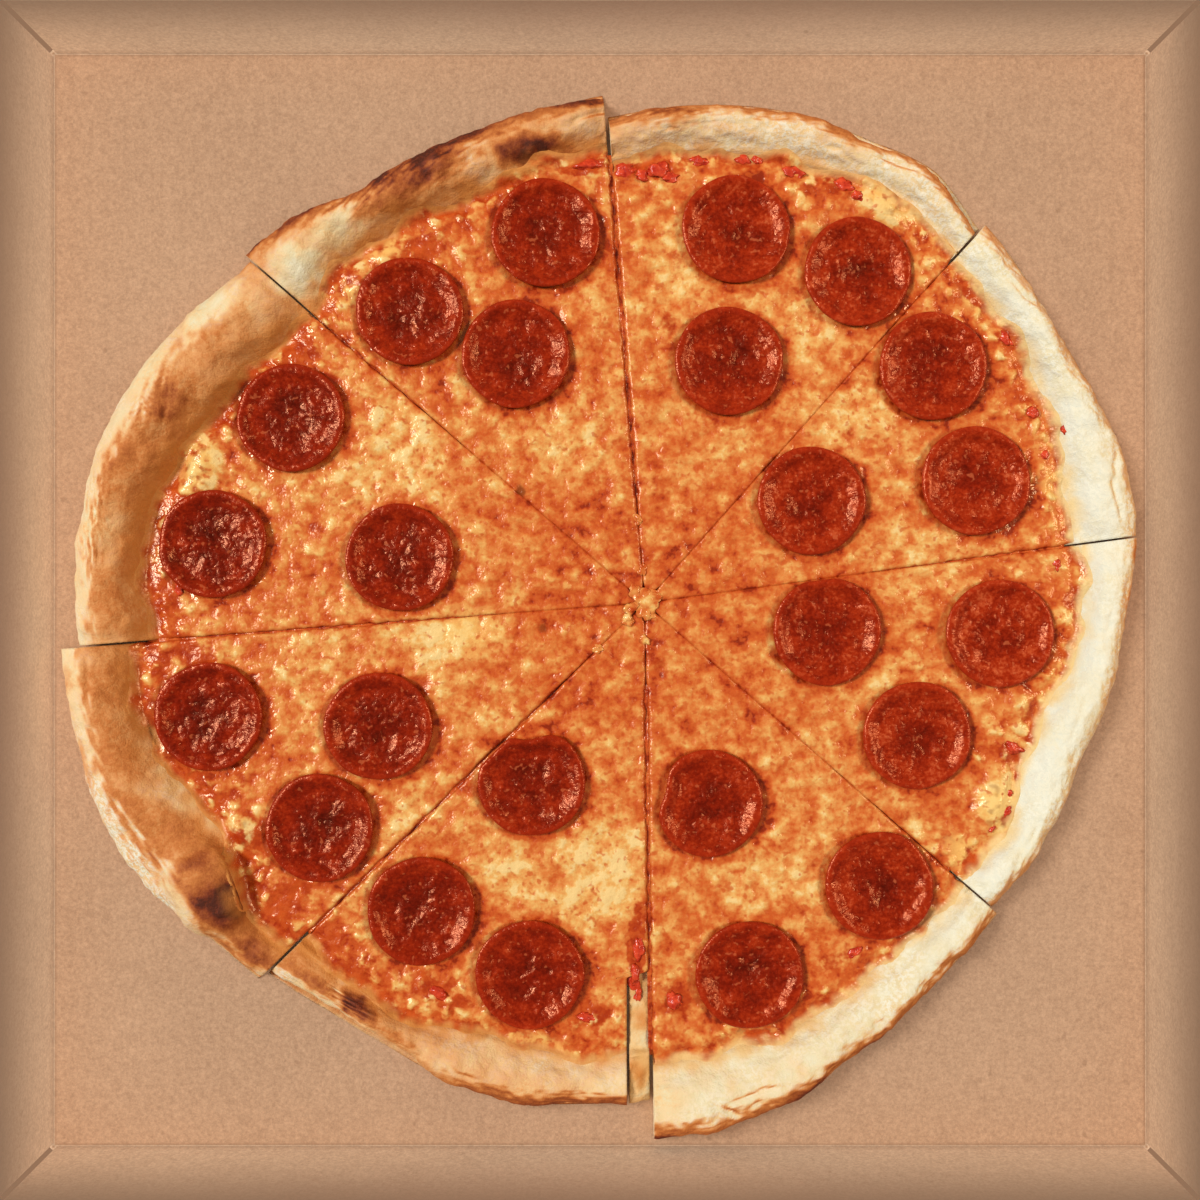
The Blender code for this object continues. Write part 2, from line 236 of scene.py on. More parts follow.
class Shader:
    """One material's nodes. Textures are laid in the piece's own coordinates, in metres."""

    def __init__(self, name, roughness, specular=0.5):
        self.material = bpy.data.materials.new(name)
        self.material.use_nodes = True
        self.nodes = self.material.node_tree.nodes
        self.links = self.material.node_tree.links
        self.surface = self.nodes["Principled BSDF"]
        self.surface.inputs["Roughness"].default_value = roughness
        self.surface.inputs["Specular IOR Level"].default_value = specular
        self.place = self.nodes.new("ShaderNodeTexCoord").outputs["Object"]

    def feed(self, socket, value):
        """Sets a socket to a number or a colour, or links it to another node's result."""
        if isinstance(value, bpy.types.NodeSocket):
            self.links.new(value, socket)
        elif isinstance(value, tuple) and len(value) == 3 and socket.type == "RGBA":
            socket.default_value = (*value, 1.0)
        else:
            socket.default_value = value

    def field(self, name):
        """A value stored on the mesh's points."""
        node = self.nodes.new("ShaderNodeAttribute")
        node.attribute_name = name
        return node.outputs["Fac"]

    def calculate(self, operation, first, second=0.0, third=0.0):
        """One sum on numbers or other nodes' results."""
        node = self.nodes.new("ShaderNodeMath")
        node.operation = operation
        for socket, value in zip(node.inputs, (first, second, third)):
            self.feed(socket, value)
        return node.outputs[0]

    def times(self, value, factor):
        return self.calculate("MULTIPLY", value, factor)

    def times_plus(self, value, factor, added):
        return self.calculate("MULTIPLY_ADD", value, factor, added)

    def spread(self, value, low, high, to_low=0.0, to_high=1.0):
        """The value moved from one range into another, and held inside it."""
        node = self.nodes.new("ShaderNodeMapRange")
        node.interpolation_type = "SMOOTHSTEP"
        for socket, number in zip(node.inputs, (value, low, high, to_low, to_high)):
            self.feed(socket, number)
        return node.outputs[0]

    def stretched_place(self, stretch):
        node = self.nodes.new("ShaderNodeMapping")
        node.inputs["Scale"].default_value = stretch
        self.links.new(self.place, node.inputs["Vector"])
        return node.outputs[0]

    def noise(self, size, detail=3.0, roughness=0.55, stretch=None):
        """Noise from 0 to 1 whose lumps are about that many metres across."""
        node = self.nodes.new("ShaderNodeTexNoise")
        self.links.new(self.stretched_place(stretch) if stretch else self.place, node.inputs["Vector"])
        node.inputs["Scale"].default_value = 0.6 / size
        node.inputs["Detail"].default_value = detail
        node.inputs["Roughness"].default_value = roughness
        return node.outputs["Fac"]

    def cells(self, size):
        """The distance from the nearest middle of many cells, in cell sizes."""
        node = self.nodes.new("ShaderNodeTexVoronoi")
        self.links.new(self.place, node.inputs["Vector"])
        node.inputs["Scale"].default_value = 1.0 / size
        return node.outputs["Distance"]

    def blend(self, share, first, second):
        """The first colour, with that share of the second mixed in."""
        node = self.nodes.new("ShaderNodeMix")
        node.data_type = "RGBA"
        self.feed(node.inputs["Factor"], share)
        sockets = [socket for socket in node.inputs if socket.type == "RGBA"]
        for socket, colour in zip(sockets, (first, second)):
            self.feed(socket, colour)
        return next(socket for socket in node.outputs if socket.type == "RGBA")

    def colours(self, value, stops):
        """A colour for each value, from a list of (value, colour)."""
        node = self.nodes.new("ShaderNodeValToRGB")
        elements = node.color_ramp.elements
        while len(elements) < len(stops):
            elements.new(0.5)
        for element, (position, colour) in zip(elements, stops):
            element.position = position
            element.color = (*colour, 1.0)
        self.feed(node.inputs["Fac"], value)
        return node.outputs["Color"]

    def bump(self, height, distance):
        """The surface's direction, tilted as if it stood out by that height times the distance."""
        node = self.nodes.new("ShaderNodeBump")
        node.inputs["Strength"].default_value = 1.0
        node.inputs["Distance"].default_value = distance
        self.feed(node.inputs["Height"], height)
        return node.outputs["Normal"]

    def finish(self, colour, roughness=None, normal=None):
        """Joins the results to the surface, and gives the material."""
        self.feed(self.surface.inputs["Base Color"], colour)
        if roughness is not None:
            self.feed(self.surface.inputs["Roughness"], roughness)
        if normal is not None:
            self.feed(self.surface.inputs["Normal"], normal)
        return self.material


def kraft_material():
    """Unbleached liner: pressed fibres, soft mottling, a few darker flecks, flutes showing through, and
    painted shade.
    """
    shader = Shader("kraft_paper", roughness=0.82, specular=0.2)
    cloud = shader.noise(40 * MM, detail=3.0)
    grain = shader.noise(0.7 * MM, detail=2.0, roughness=0.8)
    fibre = shader.noise(2.0 * MM, detail=2.0, stretch=(1.0, 0.6, 1.0))
    fleck = shader.spread(shader.noise(2.4 * MM, detail=2.0, roughness=0.3), 0.71, 0.82)
    tone = shader.times_plus(cloud, 0.24, shader.times(grain, 0.92))
    tone = shader.times_plus(fibre, 0.25, tone)
    colour = shader.colours(tone, ((0.45, (0.40, 0.235, 0.137)), (1.0, (0.65, 0.405, 0.247))))
    colour = shader.blend(shader.times(fleck, 0.3), colour, (0.22, 0.11, 0.055))
    # Painted shade: the shade field darkens the walls' insides toward their tops and in the creases, the
    # flutes, and the board behind each corner slit.
    colour = shader.blend(shader.field("shade"), colour, (0.24, 0.135, 0.078))
    turns = shader.times(shader.field("across"), 2 * math.pi / FLUTE)
    flute = shader.calculate("SINE", turns)
    height = shader.times_plus(flute, 0.30, shader.calculate("ADD", grain, fibre))
    return shader.finish(colour, normal=shader.bump(height, 0.05 * MM))


def crust_material():
    """Baked dough: bake runs from pale through tan to char, with flour dusted on and oil stains."""
    shader = Shader("baked_dough", roughness=0.72, specular=0.25)
    fine = shader.noise(0.9 * MM, detail=2.0, roughness=0.7)
    blotch = shader.noise(5 * MM, detail=2.0)
    bake = shader.field("bake")
    for pattern, strength in ((fine, 0.30), (blotch, 0.12)):
        bake = shader.times_plus(shader.calculate("SUBTRACT", pattern, 0.5), strength, bake)
    colour = shader.colours(
        bake,
        (
            (0.0, (0.62, 0.615, 0.50)),
            (0.12, (0.61, 0.535, 0.33)),
            (0.25, (0.64, 0.45, 0.22)),
            (0.40, (0.58, 0.28, 0.10)),
            (0.55, (0.46, 0.155, 0.035)),
            (0.72, (0.30, 0.075, 0.014)),
            (0.88, (0.15, 0.024, 0.005)),
            (1.0, (0.06, 0.010, 0.003)),
        ),
    )
    flour = shader.times(shader.field("flour"), shader.spread(fine, 0.38, 0.60))
    colour = shader.blend(flour, colour, (0.66, 0.65, 0.53))
    stain = shader.times(shader.field("stain"), shader.spread(blotch, 0.25, 0.6))
    soaked = shader.colours(shader.field("bake"), ((0.05, (0.66, 0.47, 0.19)), (0.40, (0.48, 0.17, 0.030))))
    colour = shader.blend(stain, colour, soaked)
    relief = shader.times_plus(blotch, 0.8, fine)
    return shader.finish(colour, normal=shader.bump(relief, 0.42 * MM))


def crumb_material():
    """The cut faces: pale crumb with holes, painted darker in the holes as their shade, between a baked
    skin.
    """
    shader = Shader("dough_crumb", roughness=0.85, specular=0.2)
    cells = shader.cells(2.2 * MM)
    fine = shader.noise(0.8 * MM, detail=3.0)
    hole = shader.spread(cells, 0.12, 0.45)
    # The holes are painted darker: painted shade in them.
    colour = shader.colours(
        shader.times_plus(fine, 0.4, shader.times(hole, 0.6)),
        ((0.15, (0.52, 0.32, 0.13)), (0.5, (0.72, 0.54, 0.30)), (0.9, (0.82, 0.68, 0.45))),
    )
    return shader.finish(colour, normal=shader.bump(shader.calculate("ADD", hole, fine), 0.5 * MM))


def cheese_material():
    """Melted mozzarella: pale curds over orange fat, sauce in the hollows, and small toasted flecks."""
    shader = Shader("melted_cheese", roughness=0.3, specular=0.45)
    patch = shader.noise(3.4 * MM, detail=3.0, roughness=0.62)
    pebble = shader.noise(1.1 * MM, detail=1.0, roughness=0.5)
    height = shader.times_plus(pebble, 0.30, patch)
    lift = shader.calculate("SUBTRACT", height, 0.65)
    # The melt field also carries painted shadow beside the pepperoni and painted shade along the cuts and
    # by the left rim.
    melt = shader.times_plus(lift, -1.4, shader.field("melt"))
    colour = shader.colours(
        melt,
        (
            (0.0, (0.68, 0.48, 0.20)),
            (0.16, (0.64, 0.355, 0.105)),
            (0.33, (0.60, 0.250, 0.065)),
            (0.50, (0.55, 0.165, 0.036)),
            (0.70, (0.49, 0.095, 0.016)),
            (0.88, (0.38, 0.042, 0.006)),
            (1.0, (0.22, 0.016, 0.002)),
        ),
    )
    gold = shader.times(shader.field("gold"), 0.8)
    colour = shader.blend(gold, colour, (0.74, 0.47, 0.135))
    sauce = shader.times_plus(lift, -1.1, shader.field("sauce"))
    sauce = shader.spread(sauce, 0.30, 0.72)
    red = shader.colours(patch, ((0.35, (0.30, 0.022, 0.002)), (0.65, (0.47, 0.070, 0.009))))
    colour = shader.blend(sauce, colour, red)
    fleck = shader.times_plus(melt, 0.12, shader.noise(1.5 * MM, detail=1.0))
    fleck = shader.spread(fleck, 0.60, 0.74)
    colour = shader.blend(shader.times(fleck, 0.7), colour, (0.46, 0.075, 0.012))
    dough = shader.colours(shader.field("tan"), ((0.05, (0.64, 0.47, 0.20)), (0.40, (0.50, 0.20, 0.045))))
    colour = shader.blend(shader.field("border"), colour, dough)
    colour = shader.blend(shader.field("toast"), colour, (0.20, 0.04, 0.006))
    rough = shader.spread(shader.calculate("ADD", patch, shader.field("oil")), 0.4, 1.2, 0.30, 0.17)
    rough = shader.times_plus(shader.field("border"), 0.4, rough)
    shader.surface.inputs["Specular Tint"].default_value = (1.0, 0.78, 0.55, 1.0)
    return shader.finish(colour, roughness=rough, normal=shader.bump(height, 0.8 * MM))


def pepperoni_material():
    """Cured sausage: dark lean meat with small orange and pale flecks of fat, wet with its own oil, with
    painted shade in the cup and painted light by where each disc lies.
    """
    shader = Shader("pepperoni_meat", roughness=0.25, specular=0.5)
    fine = shader.noise(0.8 * MM, detail=2.0, roughness=0.6)
    mottle = shader.noise(3.6 * MM, detail=2.0, roughness=0.5)
    tone = shader.times_plus(mottle, 0.55, shader.times(fine, 0.45))
    # deep paints shade into the cup's hollow middle.
    tone = shader.times_plus(shader.field("deep"), -0.17, tone)
    # pale paints the discs lighter toward the right and darker toward the left, as light and shade.
    tone = shader.times_plus(shader.field("pale"), 0.12, tone)
    colour = shader.colours(
        tone,
        (
            (0.22, (0.050, 0.0012, 0.0002)),
            (0.38, (0.11, 0.0034, 0.0004)),
            (0.52, (0.182, 0.0072, 0.0007)),
            (0.66, (0.285, 0.018, 0.0022)),
            (0.84, (0.48, 0.085, 0.025)),
        ),
    )
    fat = shader.spread(shader.noise(1.3 * MM, detail=1.0), 0.64, 0.72)
    colour = shader.blend(shader.times(fat, 0.35), colour, (0.55, 0.14, 0.05))
    lip = shader.times(shader.field("lip"), 0.4)
    colour = shader.blend(lip, colour, (0.34, 0.022, 0.004))
    shader.surface.inputs["Specular Tint"].default_value = (1.0, 0.42, 0.22, 1.0)
    relief = shader.times_plus(mottle, 3.4, fine)
    rough = shader.spread(fine, 0.3, 0.7, 0.20, 0.34)
    return shader.finish(colour, roughness=rough, normal=shader.bump(relief, 0.26 * MM))


def tomato_material():
    """Crushed tomato: a wet, uneven red."""
    shader = Shader("tomato_pulp", roughness=0.24, specular=0.4)
    fine = shader.noise(1.3 * MM, detail=3.0)
    colour = shader.colours(fine, ((0.3, (0.34, 0.012, 0.003)), (0.65, (0.60, 0.060, 0.018))))
    return shader.finish(colour, normal=shader.bump(fine, 0.5 * MM))


# ----------------------------------------------------------------------------------------- the slices


def node_points(name):
    """The points of a CAD node, in the shared frame."""
    return np.array([vertex.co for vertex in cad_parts[name].data.vertices], dtype=float)


def curve_value(values, share):
    """The value at a share from 0 to 1 along evenly spaced values, on a smooth curve through them."""
    values = np.asarray(values)
    place = np.clip(share, 0.0, 1.0) * (len(values) - 1)
    index = np.minimum(place.astype(int), len(values) - 2)
    t = place - index
    before = values[np.maximum(index - 1, 0)]
    here = values[index]
    following = values[index + 1]
    after = values[np.minimum(index + 2, len(values) - 1)]
    return 0.5 * (
        2 * here
        + (following - before) * t
        + (2 * before - 5 * here + 4 * following - after) * t**2
        + (3 * here - before - 3 * following + after) * t**3
    )


def direction(degrees):
    """The unit vector at an angle counted anticlockwise from the right."""
    angle = np.radians(degrees)
    return np.stack((np.cos(angle), np.sin(angle)), axis=-1)


class Slice:
    """One slice's sizes, read off its CAD nodes. Angles and reaches are taken from its own tip."""

    def __init__(self, number):
        self.number = number
        crust = node_points(f"slice_{number}_crust")
        cheese = node_points(f"slice_{number}_cheese")
        self.tip = crust[np.argmin(np.linalg.norm(crust[:, :2] - CENTRE, axis=1)), :2]
        middle = crust[:, :2].mean(axis=0) - self.tip
        self.middle = math.degrees(math.atan2(middle[1], middle[0])) % 360
        angles, reaches = self.polar(crust[:, :2])
        far = reaches > 0.5 * reaches.max()
        self.start, self.stop = angles[far].min(), angles[far].max()
        self.rim, self.height = [], []
        for angle in np.linspace(self.start, self.stop, SECTIONS):
            here = far & (np.abs(angles - angle) < SECTION_REACH)
            self.rim.append(reaches[here].max())
            self.height.append(crust[here, 2].max() - DOUGH_BOTTOM)
        towards = self.tip - CENTRE
        self.half_gaps = [
            abs(float(np.cross(direction(cut), towards))) for cut in (self.start, self.stop)
        ]
        angles, reaches = self.polar(cheese[:, :2])
        far = reaches > 0.5 * reaches.max()
        self.cheese = [
            reaches[far & (np.abs(angles - angle) < SECTION_REACH)].max() + REST_GAP
            for angle in np.linspace(self.start, self.stop, SECTIONS)
        ]

    def polar(self, places):
        """Directions in degrees, within half a turn of the slice's middle, and reaches from its tip."""
        offset = places - self.tip
        angles = np.degrees(np.arctan2(offset[..., 1], offset[..., 0]))
        angles = (angles - self.middle + 180) % 360 - 180 + self.middle
        return angles, np.linalg.norm(offset, axis=-1)

    def sizes(self, angles):
        """How far the rim and the cheese reach and how high the rim is, in each direction."""
        share = (angles - self.start) / (self.stop - self.start)
        return [curve_value(values, share) for values in (self.rim, self.cheese, self.height)]

    def places(self, angles, reaches):
        """The points in those directions at those reaches."""
        return self.tip + direction(angles) * np.asarray(reaches)[..., None]


def slit_angle(piece, x, reaches):
    """The direction from the tip to a line along Y at that x, at each reach."""
    return 360 - np.degrees(np.arccos(np.clip((x - piece.tip[0]) / np.maximum(reaches, 20 * MM), -1, 1)))


def first_angle(piece, reaches, sliver):
    """Where a slice begins at each reach. The sliver begins at its own short cut."""
    return slit_angle(piece, SLIVER_RIGHT, reaches) if sliver else np.full(np.shape(reaches), piece.start)


def last_angle(piece, reaches, sliver):
    """Where a slice ends at each reach. The slice with the sliver stops at the sliver's own short cut."""
    whole = np.full(np.shape(reaches), piece.stop)
    if sliver or piece.number != SLIVER_SLICE:
        return whole
    beyond = ramp(reaches, SLIVER_START - 3 * MM, SLIVER_START)
    return whole + (slit_angle(piece, SLIVER_LEFT, reaches) - whole) * beyond


def from_centre(places):
    """Directions from 0 to 360 degrees and distances from the point where the cuts cross."""
    offset = places[..., :2] - CENTRE
    return np.degrees(np.arctan2(offset[..., 1], offset[..., 0])) % 360, np.linalg.norm(offset, axis=-1)


def facing(angles, toward, low, high):
    """How far directions lie on one side of the pizza, from 0 to 1. low and high are the cosines of how far
    from the middle of that side it begins and is full."""
    return ramp(np.cos(np.radians(angles - toward)), low, high)


def patch(places, angle, distance, length, width, turn=0.0, edge=0.5, wobble=0.35, seed=0):
    """A soft-edged oval mark, 1 inside and 0 outside. Its sizes are half lengths in millimetres: length
    runs round the pizza and width along its radius, before it is turned by that many degrees."""
    middle = CENTRE + direction(angle) * distance * MM
    along = direction(angle + 90 + turn)
    across = direction(angle + turn)
    offset = places[..., :2] - middle
    oval = np.hypot((offset @ along) / (length * MM), (offset @ across) / (width * MM))
    oval = oval + wobble * noise(places[..., :2], min(length, width) * MM, seed)
    return 1 - ramp(oval, 1 - edge, 1 + edge)


# Toasted marks on the crust: direction, distance, half length, half width, turn, and how dark.
BAKE_MARKS = (
    (104.6, 171.5, 12.5, 4.2, -8, 0.78),
    (101.6, 173.0, 5.5, 3.2, 0, 0.20),
    (115.5, 179.5, 8.5, 6.5, 10, 0.42),
    (119.8, 176.0, 9.0, 5.0, 20, 0.36),
    (121.9, 183.0, 3.4, 3.0, 0, 0.40),
    (125.3, 176.5, 7.0, 3.0, 0, 0.30),
    (97.0, 185.5, 9.0, 1.8, 0, 0.42),
    (111.0, 184.0, 9.0, 2.2, 0, 0.30),
    (131.5, 191.0, 12.0, 2.6, 0, 0.42),
    (137.6, 196.0, 5.0, 1.8, 0, 0.60),
    (157.0, 188.0, 8.0, 5.0, 15, 0.26),
    (147.5, 186.0, 6.0, 3.5, 0, 0.16),
    (163.5, 198.5, 6.0, 4.0, 0, 0.12),
    (221.5, 195.0, 9.0, 5.0, 0, 0.30),
    (219.0, 200.0, 12.0, 1.8, 0, 0.35),
    (234.6, 182.5, 6.5, 3.6, 0, 0.72),
    (229.5, 186.0, 9.0, 2.4, 0, 0.30),
    (240.0, 184.5, 7.0, 2.2, 0, 0.22),
    (289.6, 190.5, 12.0, 3.2, 0, 0.40),
    (297.0, 183.0, 7.0, 2.2, 0, 0.22),
    (272.0, 198.5, 4.0, 1.6, 0, 0.35),
    (87.4, 178.8, 9.0, 3.4, 0, 0.30),
    (81.0, 176.5, 7.0, 2.2, 0, 0.12),
    (358.0, 178.5, 12.0, 1.6, 0, 0.24),
    (5.5, 182.0, 5.0, 1.8, 0, 0.28),
    (30.0, 183.5, 20.0, 1.4, 0, 0.20),
    (196.0, 214.0, 14.0, 2.0, 0, 0.22),
    (187.5, 213.0, 4.0, 3.0, 0, 0.25),
    (215.2, 188.5, 8.5, 7.0, 20, 0.46),
    (216.2, 186.5, 5.5, 5.0, 0, 0.36),
    (214.4, 191.0, 4.0, 3.5, 0, 0.26),
    (217.4, 183.0, 4.0, 2.0, 60, 0.50),
    (211.8, 186.0, 5.0, 4.0, 0, 0.16),
    (213.2, 196.5, 10.0, 1.8, 0, 0.26),
    (209.6, 190.0, 2.2, 7.0, 0, 0.20),
    (201.5, 186.0, 11.0, 8.0, 0, -0.34),
    (195.0, 191.0, 9.0, 4.0, 0, -0.18),
    (206.0, 177.0, 9.0, 5.0, 0, -0.36),
    (145.6, 192.0, 10.0, 7.0, 0, -0.28),
    (136.5, 176.0, 8.0, 6.0, 0, -0.36),
    (129.0, 177.0, 10.0, 5.0, 0, -0.28),
    (172.0, 196.0, 12.0, 5.0, 0, -0.16),
)

# Blisters: direction, distance, half length, half width, turn, height in millimetres, and how dark on top.
BLISTERS = (
    (213.4, 190.5, 15.0, 12.0, 0, 7.0, 0.0),
    (210.0, 173.5, 5.5, 5.0, 0, 2.6, 0.22),
    (157.0, 189.0, 10.0, 7.0, 0, 1.2, 0.0),
    (118.0, 178.0, 14.0, 8.0, 0, 1.0, 0.0),
    (288.0, 186.0, 12.0, 6.0, 0, 0.9, 0.0),
)

# Folds in the dough: direction, distance, half length, turn, and depth in millimetres.
FOLDS = (
    (282.5, 184.5, 14.0, 8, 1.0),
    (279.0, 188.0, 7.0, -30, 0.8),
    (12.5, 176.5, 11.0, 4, 1.1),
    (16.0, 179.0, 8.0, -25, 0.8),
    (60.0, 186.5, 9.0, 12, 0.7),
    (66.0, 180.0, 10.0, -6, 0.6),
    (96.5, 180.0, 9.0, 14, 0.9),
    (125.0, 185.0, 16.0, 3, 0.9),
    (188.0, 205.0, 12.0, -4, 0.7),
    (203.0, 205.0, 14.0, 6, 0.8),
    (217.2, 181.5, 8.0, 55, 1.6),
    (209.0, 187.0, 8.0, 80, 1.2),
    (246.0, 184.0, 16.0, -5, 0.6),
    (327.0, 166.0, 13.0, 4, 0.5),
    (345.0, 164.0, 12.0, -6, 0.5),
    (40.0, 178.5, 10.0, 5, 0.6),
)

# Wrinkled skin over toasted patches: direction, distance, half length, half width.
WRINKLES = (
    (116.0, 178.5, 15.0, 8.0),
    (125.0, 182.0, 10.0, 6.0),
    (157.0, 191.0, 12.0, 8.0),
    (172.0, 203.0, 18.0, 5.0),
    (87.0, 178.0, 12.0, 5.0),
    (234.0, 184.0, 10.0, 5.0),
    (208.0, 203.0, 16.0, 6.0),
    (292.0, 188.0, 14.0, 5.0),
)


def fold_depth(places, angle, distance, length, turn):
    """How deep a fold is at each place, from 0 to 1: a narrow valley with a soft lip."""
    middle = CENTRE + direction(angle) * distance * MM
    offset = places[..., :2] - middle
    along = (offset @ direction(angle + 90 + turn)) / (length * MM)
    bend = 0.8 * MM * noise(places[..., :2], 9 * MM, 4)
    across = (offset @ direction(angle + turn) + bend) / (1.0 * MM)
    return np.exp(-(across**2)) * (1 - ramp(np.abs(along), 0.5, 1.0))


# How baked the rim is: at each direction, the tone from pale (0) to burnt (1).
RIM_TONE = (
    (0, 0.05), (27, 0.06), (44, 0.12), (52, 0.22), (70, 0.26), (85, 0.30), (93, 0.34), (97, 0.38),
    (115, 0.46), (134, 0.34), (140, 0.40), (152, 0.46), (165, 0.53), (182, 0.46), (188, 0.49), (205, 0.54),
    (222, 0.56), (235, 0.45), (255, 0.35), (269, 0.30), (275, 0.14), (295, 0.18), (320, 0.08), (340, 0.02),
    (360, 0.05),
)


def rim_tone(angles):
    """How baked the rim is in each direction."""
    return np.interp(angles, *zip(*RIM_TONE))


def crust_sections(piece, sliver):
    """Points over a slice's dough, from its tip over the rim and back underneath, a row for each direction.
    Returns the points, each row's distance from the cuts, and how much of the rim's form each point has."""
    rim_length = math.radians(piece.stop - piece.start) * max(piece.rim)
    columns = SLIVER_COLUMNS if sliver else int(rim_length / CRUST_STEP)
    shares = np.linspace(0, 1, columns)
    near_rim = np.full(columns, np.mean(piece.rim))
    first = first_angle(piece, near_rim, sliver)
    angles = first + (last_angle(piece, near_rim, sliver) - first) * shares
    rim, cheese, height = piece.sizes(angles)
    to_cut = np.radians(np.minimum(angles - piece.start, piece.stop - angles)) * rim
    height = height * (1 - 0.16 * np.exp(-((to_cut / (5 * MM)) ** 2)))
    if sliver:
        height = 0.72 * height
    width = rim - cheese
    inner = np.full(columns, SLIVER_START - 5 * MM if sliver else 0.0)
    foot_top = DOUGH_TOP + FOOT_RISE
    out, up = RIM_SHOULDER
    controls = [
        (inner, DOUGH_TOP),
        (inner + 0.6 * (cheese - 14 * MM - inner), DOUGH_TOP),
        (cheese - 14 * MM, DOUGH_TOP),
        (cheese - RIM_FOOT, DOUGH_TOP),
        (cheese, foot_top),
        (cheese + out * width, np.maximum(foot_top, DOUGH_BOTTOM + up * height)),
        *((rim - across * width, DOUGH_BOTTOM + rise * height) for across, rise in RIM_SHAPE),
        (inner + 0.5 * (rim - 0.6 * width - inner), DOUGH_BOTTOM),
        (inner, DOUGH_BOTTOM),
    ]
    # How many rows of points lie between each control and the next. The slit needs many.
    along_slit, below_slit = (36, 50) if piece.number == SLIVER_SLICE else (2, 4)
    steps = (2, along_slit, 8, 5, 5, 8, 10, 10, 9, 7, 7, below_slit, 2)
    reach = np.stack([np.broadcast_to(control[0], columns) for control in controls])
    level = np.stack([np.broadcast_to(control[1], columns) for control in controls])
    reaches, levels = [], []
    last = len(controls) - 1
    for index, count in enumerate(steps):
        for t in np.arange(count) / count:
            weights = (
                (-0.5 * t**3 + t**2 - 0.5 * t, max(index - 1, 0)),
                (1.5 * t**3 - 2.5 * t**2 + 1, index),
                (-1.5 * t**3 + 2 * t**2 + 0.5 * t, index + 1),
                (0.5 * t**3 - 0.5 * t**2, min(index + 2, last)),
            )
            reaches.append(sum(weight * reach[row] for weight, row in weights))
            levels.append(sum(weight * level[row] for weight, row in weights))
    reaches.append(reach[last])
    levels.append(level[last])
    reaches = np.maximum(np.stack(reaches, axis=1), inner[:, None])
    levels = np.maximum(np.stack(levels, axis=1), DOUGH_BOTTOM)
    first = first_angle(piece, reaches, sliver)
    angles = first + (last_angle(piece, reaches, sliver) - first) * shares[:, None]
    flat = piece.places(angles, reaches)
    points = np.concatenate((flat, levels[..., None]), axis=-1)
    rimness = ramp(reaches, (cheese - 2 * MM)[:, None], (cheese + 5 * MM)[:, None])
    return points, to_cut, rimness


def surface_normals(points):
    """Outward normals of rows of points whose sections run from the tip over the top and back below."""
    across = np.gradient(points, axis=0)
    along = np.gradient(points, axis=1)
    normal = np.cross(along, across)
    return normal / np.maximum(np.linalg.norm(normal, axis=-1, keepdims=True), 1e-12)


def shape_crust(points, rimness, to_cut):
    """Lumps, blisters, folds, wrinkles and a ragged lower edge pushed into the smooth dough."""
    angles, distances = from_centre(points)
    top = ramp(points[..., 2], DOUGH_TOP, DOUGH_TOP + 3 * MM)
    above = surface_normals(points)[..., 2] > 0.05
    push = layered_noise(points, (0.85, 21, 1), (0.60, 8, 2), (0.30, 3.2, 3))
    for angle, distance, length, width, turn, height, _ in BLISTERS:
        swelling = patch(points, angle, distance, length, width, turn, 0.6, 0.15, 3)
        push = push + height * MM * swelling * above
    for angle, distance, length, turn, depth in FOLDS:
        push = push - depth * MM * fold_depth(points, angle, distance, length, turn) * top * above
    turned = np.stack((np.radians(angles) * distances / 3.2, distances), axis=-1)
    skin = noise(turned + 0.3 * turned[..., ::-1], 1.15 * MM, 6) + 0.6 * noise(turned, 2.3 * MM, 7)
    wrinkled = sum(patch(points, *where, edge=0.6) for where in WRINKLES)
    push = push + (0.12 + 0.34 * np.clip(wrinkled, 0, 1)) * MM * skin * top * above
    lower = (1 - ramp(points[..., 2], DOUGH_BOTTOM, DOUGH_BOTTOM + 9 * MM)) * ramp(
        points[..., 2], DOUGH_BOTTOM - MM, DOUGH_BOTTOM + MM
    )
    torn = facing(angles, 345, 0.45, 0.9)
    ragged = noise(turned * np.array((3.2, 0.4)), 2.2 * MM, 9)
    push = push + (0.2 + 0.75 * torn) * MM * ragged * lower
    held = ramp(to_cut, 0.0, 3 * MM)[:, None]
    keep_level = ramp(points[..., 2], DOUGH_BOTTOM + 0.2 * MM, DOUGH_BOTTOM + 2 * MM)
    moved = points + surface_normals(points) * (push * rimness * keep_level)[..., None]
    # A cut face stays flat: there the push goes only up and out, never through the cut.
    side = points + (moved - points) * held[..., None]
    along = moved - side
    outward = np.concatenate((direction(angles), np.zeros_like(angles)[..., None]), axis=-1)
    side = side + outward * (along * outward).sum(-1, keepdims=True)
    side[..., 2] += along[..., 2]
    side[..., 2] = np.maximum(side[..., 2], DOUGH_BOTTOM - 0.1 * MM)
    return side


